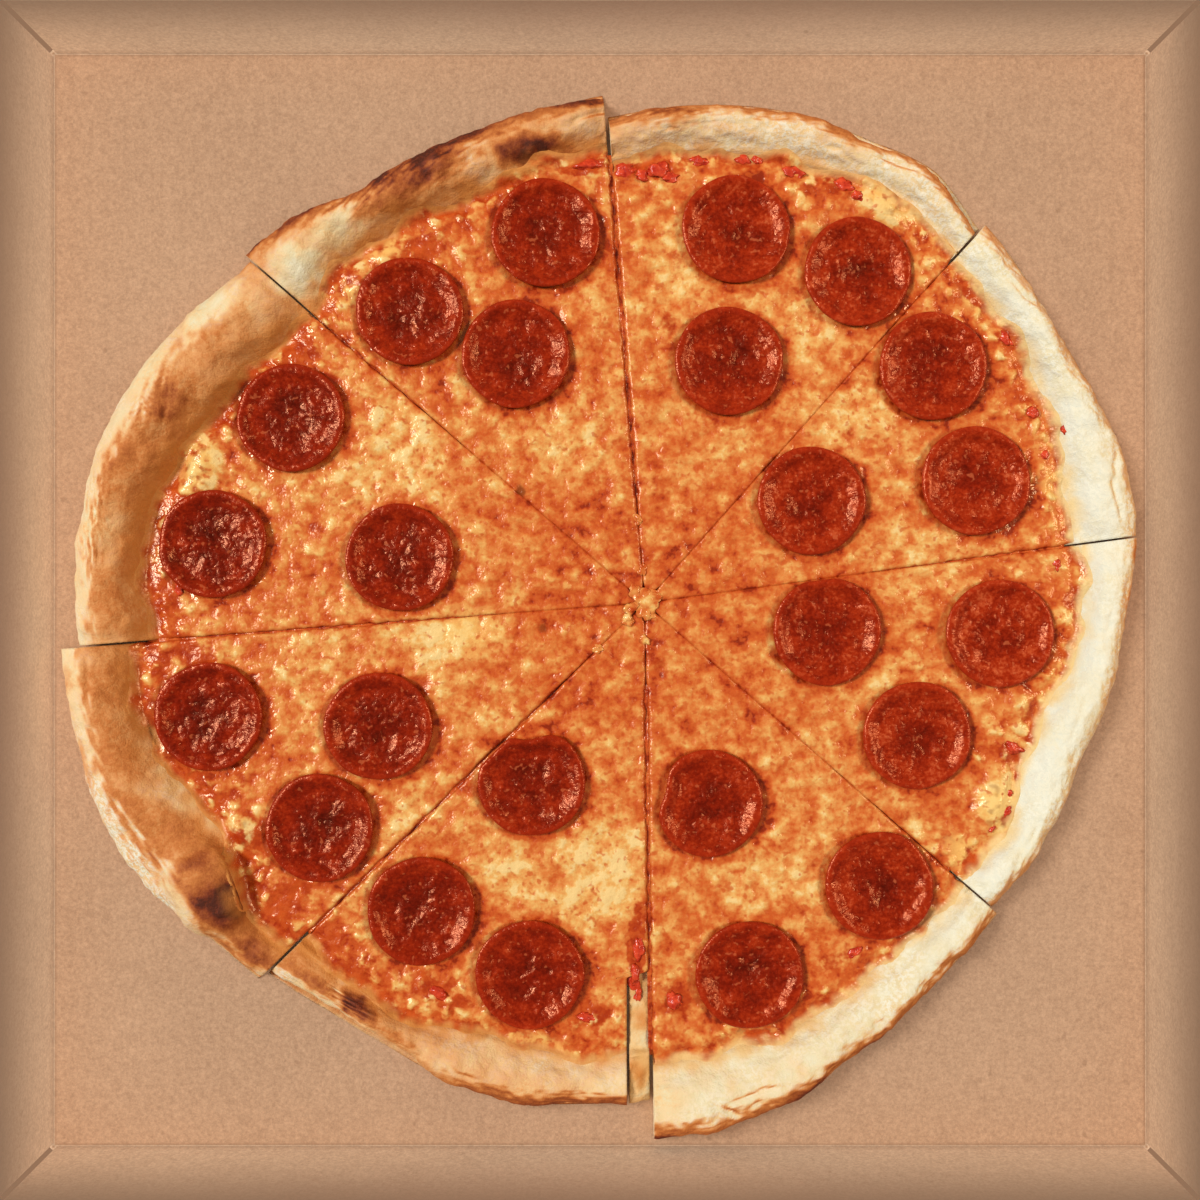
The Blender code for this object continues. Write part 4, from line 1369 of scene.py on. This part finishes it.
def make_tomato(material):
    """Small lumps of crushed tomato, lying half sunk in the sauce along the rim."""
    bpy.context.view_layer.update()
    parts = []
    for number, (angle, distance, length, width) in enumerate(TOMATO):
        middle = CENTRE + direction(angle) * distance * MM
        sizes = (1.1 * width, 1.1 * length, 0.24 * (length + width))
        swellings = ((0.45, 0.8), (0.25, 0.35))
        parts.append(lump(middle, ground_under(middle), sizes, angle, 3, swellings, 70 + number))
    points, faces = join_parts(parts)
    made = new_object("tomato_pieces", points, faces, "tray", None, (material,))
    tidy_mesh(made)
    return made


def plain_melt(points, melt, sauce, oil):
    """The cheese's colour fields for a small piece that needs no detail of its own."""
    values = {"melt": melt, "sauce": sauce, "oil": oil}
    return {name: np.broadcast_to(value, len(points)) for name, value in values.items()}


def make_scraps(material):
    """Scraps of cheese dragged over the cuts: where they all cross, and a few bridging strings."""
    parts = []
    for number, (angle, distance, length, width) in enumerate(SCRAPS):
        middle = CENTRE + direction(angle) * distance * MM
        swellings = ((0.45, 0.9), (0.22, 0.4))
        sizes = (width, length, 0.6)
        turn = angle + 35 * number
        parts.append(lump(middle, CHEESE_TOP - 0.25 * MM, sizes, turn, 4, swellings, 90 + number))
    points, faces = join_parts(parts)
    melt = 0.45 + 0.25 * noise(points, 3 * MM, 95)
    fields = plain_melt(points, melt, 0.15 + 0.4 * noise(points, 4 * MM, 96), 0.5)
    made = new_object("cheese_scraps", points, faces, "tray", fields, (material,))
    tidy_mesh(made)
    return made


def tube(loops):
    """A closed skin through rows of points. Each row is a loop, and the first and last are filled."""
    rows, count = loops.shape[:2]
    index = np.arange(rows * count).reshape(rows, count)
    faces = grid_faces(np.concatenate((index, index[:, :1]), axis=1))
    return loops.reshape(-1, 3), faces + [index[0].tolist(), index[-1, ::-1].tolist()]


# A strip's section: how far across the cut, in half gaps, and how far down, in millimetres.
STRIP = ((-1.0, 0.15), (-0.4, 0.4), (0.4, 0.35), (1.0, 0.0), (1.0, 2.0), (-1.0, 2.0))


def make_grease_and_shade_strips(pieces, material):
    """Cheese and oil that ran down into the cuts: a dark strip low in each one, its darkness partly painted
    shade.
    """
    parts = []
    for number, piece in enumerate(pieces):
        reaches = np.linspace(5 * MM, piece.cheese[0] - 3 * MM, 120)
        middle = CENTRE + direction(piece.start) * reaches[:, None]
        side = (piece.half_gaps[0] + 0.25 * MM) * direction(piece.start + 90)
        uneven = 0.5 * noise(middle, 7 * MM, 60 + number) + 0.3 * noise(middle, 2.5 * MM, 61 + number)
        level = CHEESE_TOP - (1.3 + uneven) * MM
        rows = [
            np.column_stack((middle + across * side, np.maximum(level - drop * MM, DOUGH_TOP - 2 * MM)))
            for across, drop in STRIP
        ]
        parts.append(tube(np.stack(rows, axis=1)))
    points, faces = join_parts(parts)
    fields = plain_melt(points, 0.85, 0.3 + 0.3 * noise(points, 6 * MM, 97), 0.2)
    made = new_object("cut_grease_and_shade", points, faces, "tray", fields, (material,))
    tidy_mesh(made)
    return made


def make_food():
    """Everything that lies in the box, from the dough up."""
    pieces = [Slice(number) for number in range(1, SLICES + 1)]
    CUT_LINES.extend((piece.start, piece.half_gaps[0]) for piece in pieces)
    dough = crust_material()
    crumb = crumb_material()
    cheese = cheese_material()
    meat = pepperoni_material()
    made = []
    for number, piece in enumerate(pieces, start=1):
        crust = make_crust(piece, (dough, crumb))
        made.extend((crust, make_cheese(piece, cheese, crust)))
        if number == SLIVER_SLICE:
            made.append(make_crust(piece, (dough, crumb), sliver=True))
    made.append(make_scraps(cheese))
    made.append(make_grease_and_shade_strips(pieces, cheese))
    made.append(make_tomato(tomato_material()))
    for number, (name, middle) in enumerate(PEPPERONI.items(), start=1):
        made.append(make_pepperoni(number, name, middle, meat))
    return made


# --------------------------------------------------------------------------------------------- the box


def arc(middle, radius, start, stop, steps=7):
    """Points along an arc, with its angles in degrees."""
    angles = np.linspace(start, stop, steps)
    return [tuple(point) for point in np.array(middle) + radius * direction(angles)]


def straight(start, stop, steps):
    """Points along a straight line."""
    return [tuple(point) for point in np.linspace(start, stop, steps)]


def sheet(line, thickness, low, high, place, rows=2):
    """A closed sheet of paper. line is its section, and the thickness goes to the line's left. At each of
    its points the sheet runs from low to high, and place turns a point and that reach into x, y and z."""
    line = np.array(line)
    along = np.gradient(line, axis=0)
    left = np.stack((-along[:, 1], along[:, 0]), axis=-1)
    left /= np.linalg.norm(left, axis=-1, keepdims=True)
    low, high = (np.broadcast_to(value, len(line)) for value in (low, high))
    reach = low + (high - low) * np.linspace(0, 1, rows)[:, None]
    sides = [place(side[:, 0], side[:, 1], reach) for side in (line, line + thickness * left)]
    loop = np.concatenate((sides[0], sides[1][:, ::-1]), axis=1)
    index = np.arange(loop.shape[0] * loop.shape[1]).reshape(loop.shape[:2])
    faces = grid_faces(np.concatenate((index, index[:, :1]), axis=1))
    for row in (index[0], index[-1]):
        one, other = row[: len(line)], row[: len(line) - 1 : -1]
        faces += np.stack((one[:-1], one[1:], other[1:], other[:-1]), axis=-1).tolist()
    return loop.reshape(-1, 3), faces


def wave(start, stop, middle):
    """A section's line along one flute after another, from start to stop."""
    steps = int(abs(stop - start) / FLUTE * 12)
    run = np.linspace(start, stop, steps)
    return np.stack((run, middle + CORE_HALF * np.sin(2 * math.pi * run / FLUTE)), axis=-1)


def on_side(quarter):
    """Places a point by how far it is out from the box's middle, its height and how far along the wall."""
    turn = quarter * math.pi / 2

    def place(out, height, along):
        x = out * math.cos(turn) - along * math.sin(turn)
        y = out * math.sin(turn) + along * math.cos(turn)
        return joined(x, y, height)

    return place


def swapped(place, order):
    """The same placing, with the section's two values and the distance given in another order."""
    return lambda *values: place(*(values[index] for index in order))


def in_open_lid(x, y, z):
    """Where a point of the shut lid, measured from its hinge, is when the lid stands open."""
    turned_y = y * math.cos(LID_OPEN) + z * math.sin(LID_OPEN)
    turned_z = -y * math.sin(LID_OPEN) + z * math.cos(LID_OPEN)
    return joined(x + HINGE.x, turned_y + HINGE.y, turned_z + HINGE.z)


def make_board(name, sheets, body, node=None):
    """One piece from several sheets of paper. Each is (sheet, which way its flutes are counted, painted
    shade).
    """
    points, faces = join_parts([part for part, _, _ in sheets])
    across = np.concatenate([part[0][:, axis] for part, axis, _ in sheets])
    shade = np.concatenate([shade_of(part[0]) for part, _, shade_of in sheets])
    lean = 0.5 + 0.45 * noise(points, 85 * MM, 80)
    points[:, 0] *= 1 - 0.0007 * lean
    if body == "tray":
        points[:, 1] *= 1 - 0.0007 * lean
        sag = 0.5 + 0.5 * noise(points[:, :2], 38 * MM, 81)
        points[:, 2] -= 0.3 * MM * np.clip(sag, 0, 1) * ramp(points[:, 2], 30 * MM, WALL_TOP)
    fields = {"across": across, "shade": shade}
    made = new_object(name, points, faces, body, fields, (bpy.data.materials["kraft_paper"],))
    tidy_mesh(made, sharp_degrees=35)
    if node:
        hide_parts(node)
    return made


def unshaded(points):
    return np.zeros(len(points))


def wall_shade(points):
    """Painted shade on the walls' insides: darker toward their tops, and in the crease."""
    crease = 1 - ramp(points[:, 2], BOARD + 0.2 * MM, BOARD + 1.4 * MM)
    return np.maximum(0.95 * ramp(points[:, 2], 2 * MM, 58 * MM) ** 1.3, 0.30 * crease)


def floor_shade(points):
    """Painted shade on the floor, in the crease."""
    out = np.abs(points[:, :2]).max(axis=1) - INNER_HALF
    return 0.30 * ramp(out, -1.4 * MM, -0.5 * MM)


def flute_painted_shade(points):
    """The flutes are painted darker, as the shade between the liners."""
    return np.full(len(points), 0.45)


def slit_painted_shade(points):
    """The board behind a corner's slit is painted darkest, as the shade in the slit."""
    return np.ones(len(points))


# The pressed crease where a wall meets the floor: (out from the wall's foot, up from the floor) in mm.
CREASE_FLOOR = ((-1.3, 0.0), (-0.9, -0.05), (-0.5, -0.15), (-0.1, -0.20), (0.75, -0.24))
CREASE_WALL = ((-0.1, -0.20), (0.10, -0.12), (0.1, 0.1), (0.0, 0.5))


def floor_paper():
    """The floor's upper paper: flat, and dipping into the pressed crease along all four sides."""
    dips = np.array(CREASE_FLOOR) * MM
    flat = np.linspace(-INNER_HALF + 2 * MM, INNER_HALF - 2 * MM, 60)
    stations = np.concatenate((-INNER_HALF - dips[::-1, 0], flat, INNER_HALF + dips[:, 0]))
    x, y = np.meshgrid(stations, stations, indexing="ij")
    out = np.maximum(np.abs(x), np.abs(y)) - INNER_HALF
    top = BOARD + np.interp(out, dips[:, 0], dips[:, 1])
    upper = joined(x, y, top).reshape(-1, 3)
    index = np.arange(len(upper)).reshape(x.shape)
    faces = grid_faces(index) + grid_faces(index[::-1] + len(upper))
    border = np.concatenate((index[:-1, 0], index[-1, :-1], index[:0:-1, -1], index[0, :0:-1]))
    following = np.roll(border, -1)
    faces += np.stack((border, following, following + len(upper), border + len(upper)), axis=1).tolist()
    return np.concatenate((upper, upper - (0, 0, LINER))), faces


def make_floor():
    """The tray's floor: its upper paper, with the crease, and its lower paper."""
    half = OUTER_HALF - FOLD
    lower = sheet(straight((-half, 0.0), (half, 0.0), 8), LINER, -half, half, on_side(0), 8)
    layers = [(floor_paper(), 0, floor_shade), (lower, 0, unshaded)]
    return make_board("tray_floor", layers, "tray", "tray")


def make_wall(name, quarter, top):
    """One wall of the tray, folded up from the floor along a pressed crease, its fluted edge on top."""
    place = on_side(quarter)
    inner, outer = INNER_HALF, OUTER_HALF
    line = [(inner + out * MM, BOARD + up * MM) for out, up in CREASE_WALL]
    line += straight((inner, 7 * MM), (inner, top), 9)
    line = np.array(line)
    reach = np.minimum(line[:, 0], inner - 0.71 * CORNER_SLIT * ramp(line[:, 1], BOARD, BOARD + 0.4 * MM))
    inside = sheet(line, -LINER, -reach, reach, place, 40)
    line = arc((outer - FOLD, FOLD), FOLD, -90, 0) + straight((outer, 8 * MM), (outer, top), 7)
    line = np.array(line)
    outside = sheet(line, LINER, -line[:, 0], line[:, 0], place, 40)
    middle = (inner + outer) / 2
    end = inner - 1.5 * MM
    if quarter % 2:
        line = wave(-end, end, middle)
        flutes = sheet(line, CORE, BOARD, top - 0.1 * MM, swapped(place, (1, 2, 0)))
    else:
        line = wave(BOARD, top - 0.3 * MM, middle)
        flutes = sheet(line, CORE, -end, end, swapped(place, (1, 0, 2)), 12)
    counted = 0 if quarter % 2 else 2
    layers = [(inside, counted, wall_shade), (outside, counted, unshaded), (flutes, counted, flute_painted_shade)]
    return make_board(name, layers, "tray")


def make_corner(name, side, end):
    """Where two walls meet: the board seen through the slit, and the tab glued outside the side wall."""
    layers = []
    top = (REAR_WALL_TOP if end > 0 else WALL_TOP) - 0.2 * MM

    def slanted(out, across, height):
        x = INNER_HALF + (out - across) * math.sqrt(0.5)
        y = INNER_HALF + (out + across) * math.sqrt(0.5)
        return joined(side * x, end * y, height)

    # The board behind the slit, with painted shade.
    back = straight((CORNER_SLIT, -1.5 * MM), (CORNER_SLIT, 1.5 * MM), 3)
    layers.append((sheet(back, -0.9 * MM, 2.7 * MM, top, slanted), 0, slit_painted_shade))

    def beside(out, along, height):
        return joined(side * out, end * along, height)

    far = OUTER_HALF + BOARD
    stop = OUTER_HALF - TAB_LENGTH
    line = arc((far - FOLD, OUTER_HALF - FOLD), FOLD, 96, 0, 9)
    line += straight((far, OUTER_HALF - 4 * MM), (far, stop), 8)
    layers.append((sheet(line, -LINER, TAB_LOW, TAB_HIGH, beside, 8), 1, unshaded))
    line = straight((OUTER_HALF, OUTER_HALF - 0.5 * MM), (OUTER_HALF, stop), 8)
    layers.append((sheet(line, LINER, TAB_LOW, TAB_HIGH, beside, 8), 1, unshaded))
    line = wave(OUTER_HALF - 0.6 * MM, stop, OUTER_HALF + BOARD / 2)
    low, high = TAB_LOW + 0.1 * MM, TAB_HIGH - 0.1 * MM
    layers.append((sheet(line, CORE, low, high, swapped(beside, (1, 0, 2))), 1, flute_painted_shade))
    return make_board(name, layers, "tray")


def lid_rear(z):
    """Where the lid's board ends at the back: its flaps start further forward, on a slope."""
    slope = LID_REAR - 6 * MM + 8 * MM * (z - LID_UNDER) / (LID_UNDER - LID_EDGE)
    return np.where(z > 0.1 * MM, LID_REAR, slope)


def on_lid_side(side):
    """The placing of the open lid's points, for its right side (1) or its left side (-1)."""

    def place(x, y, z):
        return in_open_lid(side * x, y, z)

    return place


def both_sides(right, half, level):
    """A section from the right flap's edge over the panel to the left flap's edge."""
    left = [(-x, z) for x, z in right[::-1]]
    return np.array(right + straight((half, level), (-half, level), 40) + left)


def make_lid():
    """The lid's panel with its side flaps and front flap, built shut and placed open."""
    by_x_z_y = swapped(in_open_lid, (0, 2, 1))
    layers = []
    half, top = LID_HALF, LID_TOP
    right = straight((half, LID_EDGE), (half, 0.05 * MM), 8) + arc((half - FOLD, top - FOLD), FOLD, 0, 90)
    line = both_sides(right, half - 1.5 * FOLD, top)
    front = LID_FRONT + 0.3 * MM + (FOLD - 0.2 * MM) * ramp(line[:, 1], top - 0.7 * FOLD, top)
    layers.append((sheet(line, LINER, lid_rear(line[:, 1]), front, by_x_z_y, 44), 0, unshaded))

    inner = half - BOARD
    right = straight((inner, LID_EDGE), (inner, -1.0 * MM), 8)
    crease = LID_UNDER + 0.2 * MM
    right += [(inner + 0.1 * MM, -0.3 * MM), (inner, crease), (inner - 0.5 * MM, crease)]
    line = both_sides(right, inner - 1.2 * MM, LID_UNDER)
    front = np.full(len(line), LID_FRONT + BOARD - 0.2 * MM)
    layers.append((sheet(line, -LINER, lid_rear(line[:, 1]), front, by_x_z_y, 44), 0, unshaded))

    by_y_z_x = swapped(in_open_lid, (2, 0, 1))
    line = arc((LID_FRONT + FOLD, top - FOLD), FOLD, 90, 180) + straight(
        (LID_FRONT, top - 1.3 * FOLD), (LID_FRONT, LID_EDGE), 7
    )
    line = np.array(line)
    reach = half - 0.35 * MM - (FOLD - 0.3 * MM) * ramp(line[:, 1], top - 0.7 * FOLD, top)
    layers.append((sheet(line, LINER, -reach, reach, by_y_z_x, 40), 0, unshaded))
    near = LID_FRONT + BOARD
    line = [(near + 1.2 * MM, LID_UNDER), (near + 0.3 * MM, LID_UNDER + 0.1 * MM), (near, -0.6 * MM)]
    line += straight((near, -2 * MM), (near, LID_EDGE), 7)
    layers.append((sheet(line, -LINER, -inner + 0.1 * MM, inner - 0.1 * MM, by_y_z_x, 40), 0, unshaded))

    low = LID_EDGE + 0.1 * MM
    line = wave(-half + 1.0 * MM, half - 1.0 * MM, LID_FRONT + BOARD / 2)
    layers.append((sheet(line, CORE, low, 1.5 * MM, in_open_lid), 0, flute_painted_shade))
    for side in (-1, 1):
        line = wave(low, 1.5 * MM, half - BOARD / 2)
        rear = lid_rear(line[:, 0] - 0.5 * MM) - 0.1 * MM
        by_z_x_y = swapped(on_lid_side(side), (1, 2, 0))
        layers.append((sheet(line, CORE, rear, LID_FRONT + 0.5 * MM, by_z_x_y), 2, flute_painted_shade))
    line = wave(-half + 1.0 * MM, half - 1.0 * MM, LID_UNDER + BOARD / 2)
    layers.append((sheet(line, CORE, LID_REAR - 0.1 * MM, LID_REAR - 12 * MM, by_x_z_y), 0, flute_painted_shade))
    return make_board("lid_board", layers, "lid", "lid")


def make_lid_tab(name, side):
    """The front flap's end, folded back along the inside of a side flap."""
    outer = LID_HALF - BOARD
    inner = outer - BOARD
    low, high = LID_EDGE + 2.5 * MM, LID_UNDER - 2.5 * MM
    start = LID_FRONT + BOARD - 0.4 * MM
    stop = LID_FRONT + BOARD + 34 * MM
    place = on_lid_side(side)
    layers = [
        (sheet(straight((inner, start), (inner, stop), 8), -LINER, low, high, place, 6), 1, unshaded),
        (sheet(straight((outer, start), (outer, stop), 8), LINER, low, high, place, 6), 1, unshaded),
    ]
    line = wave(start, stop, (inner + outer) / 2)
    flutes = sheet(line, CORE, low + 0.1 * MM, high - 0.1 * MM, swapped(place, (1, 0, 2)))
    layers.append((flutes, 1, flute_painted_shade))
    return make_board(name, layers, "lid")


# The fold's section: out from the hinge and up from it, in millimetres.
FOLD_SECTION = (
    (-1.0, -0.10), (0.0, 0.15), (0.6, 0.60), (1.4, 0.2), (3.0, -0.85), (2.2, -1.55), (0.9, -1.95),
    (0.02, -2.55), (-0.25, -2.55),
)


def make_crease():
    """The fold between the rear wall and the lid."""
    out, up = np.array(FOLD_SECTION).T * MM
    x = np.linspace(-LID_HALF + 0.5 * MM, LID_HALF - 0.5 * MM, 40)[:, None]
    points, faces = tube(joined(x, HINGE.y + out, HINGE.z + up))
    fields = {"across": points[:, 0], "shade": np.zeros(len(points))}
    made = new_object("lid_crease", points, faces, None, fields, (bpy.data.materials["kraft_paper"],))
    tidy_mesh(made, sharp_degrees=50)
    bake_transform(made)
    return made


def make_box():
    """The tray's floor, and everything of board that stands on it."""
    kraft_material()
    walls = [
        make_wall("wall_right", 0, WALL_TOP),
        make_wall("wall_rear", 1, REAR_WALL_TOP),
        make_wall("wall_left", 2, WALL_TOP),
        make_wall("wall_front", 3, WALL_TOP),
    ]
    for side, side_name in ((-1, "left"), (1, "right")):
        for end, end_name in ((-1, "front"), (1, "rear")):
            walls.append(make_corner(f"corner_{side_name}_{end_name}", side, end))
        walls.append(make_lid_tab(f"lid_tab_{side_name}", side))
    walls += [make_lid(), make_crease()]
    return make_floor(), walls


# -------------------------------------------------------------------------------------------- lighting


STAGE_SIZE = 30.0
STAGE_LEVEL = -0.5 * MM


def make_stage():
    """The pale floor of the studio, just below the box."""
    bpy.ops.mesh.primitive_plane_add(size=STAGE_SIZE, location=(0.0, 0.0, STAGE_LEVEL))
    floor = bpy.context.object
    floor.name = "studio_floor"
    shader = Shader("studio_floor", roughness=0.9, specular=0.1)
    pale = shader.colours(shader.noise(0.4), ((0.3, (0.80, 0.79, 0.77)), (0.7, (0.83, 0.82, 0.80))))
    floor.data.materials.append(shader.finish(pale))
    return floor


def make_light(name, toward, strength, angle, receivers, blockers=None, colour=(1.0, 0.985, 0.96)):
    """A distant soft light that shines along a direction, on some pieces only."""
    light = bpy.data.lights.new(name, "SUN")
    light.energy = strength
    light.angle = math.radians(angle)
    light.color = colour
    lamp = bpy.data.objects.new(name, light)
    lamp.rotation_euler = Vector(toward).to_track_quat("-Z", "Y").to_euler()
    bpy.context.scene.collection.objects.link(lamp)
    lamp.light_linking.receiver_collection = receivers
    if blockers is not None:
        lamp.light_linking.blocker_collection = blockers


def collect(name, pieces):
    """A collection that a light can be linked to."""
    group = bpy.data.collections.new(name)
    for piece in pieces:
        group.objects.link(piece)
    return group


WARM = (1.0, 0.79, 0.56)
COOL = (0.78, 0.93, 1.0)
WORLD_LIGHT = 0.24


def make_lights(food, floor, walls, stage):
    """Soft lights of their own for the food, the box's floor, its walls and the studio's floor."""
    world = bpy.data.worlds.new("soft_studio")
    world.use_nodes = True
    world.node_tree.nodes["Background"].inputs["Color"].default_value = (1.0, 0.99, 0.975, 1.0)
    world.node_tree.nodes["Background"].inputs["Strength"].default_value = WORLD_LIGHT
    bpy.context.scene.world = world
    shadows = collect("casting_shadows", food)
    nothing = collect("below_everything", [stage])
    on_food = collect("food", food)
    on_floor = collect("floor", [floor])
    on_walls = collect("walls", walls)
    make_light("key", (0.66, -0.14, -0.735), 3.4, 15, on_food, shadows)
    make_light("fill", (-0.70, -0.10, -0.66), 1.65, 14, on_food, shadows, WARM)
    make_light("floor_key", (0.62, -0.33, -0.71), 1.68, 22, on_floor, shadows)
    make_light("floor_fill", (0.0, 0.0, -1.0), 1.2, 60, on_floor, shadows)
    make_light("stage_light", (0.30, -0.25, -0.92), 2.1, 35, collect("stage", [stage]))
    for number in range(4):
        toward = on_side(number)(0.83, -0.45, 0.0)
        make_light(f"wall_light_{number + 1}", toward, 2.5, 40, on_walls, nothing, COOL)


CAMERA_ABOVE_FLOOR = 0.500
FLOOR_SEEN = 0.4505  # how much of the tray floor's plane the picture shows, across and down
SENSOR = 36.0


def make_camera():
    """Straight above the box, at the height where its walls' tops just leave the picture."""
    data = bpy.data.cameras.new("camera")
    camera = bpy.data.objects.new("camera", data)
    bpy.context.scene.collection.objects.link(camera)
    camera.location = (0.0, 0.0, BOARD + CAMERA_ABOVE_FLOOR)
    data.sensor_width = SENSOR
    data.lens = SENSOR * CAMERA_ABOVE_FLOOR / FLOOR_SEEN
    bpy.context.scene.camera = camera


def main():
    """Builds the scene."""
    bpy.context.scene.view_settings.view_transform = "Standard"
    floor, walls = make_box()
    food = make_food()
    make_lights(food, floor, walls, make_stage())
    make_camera()


main()
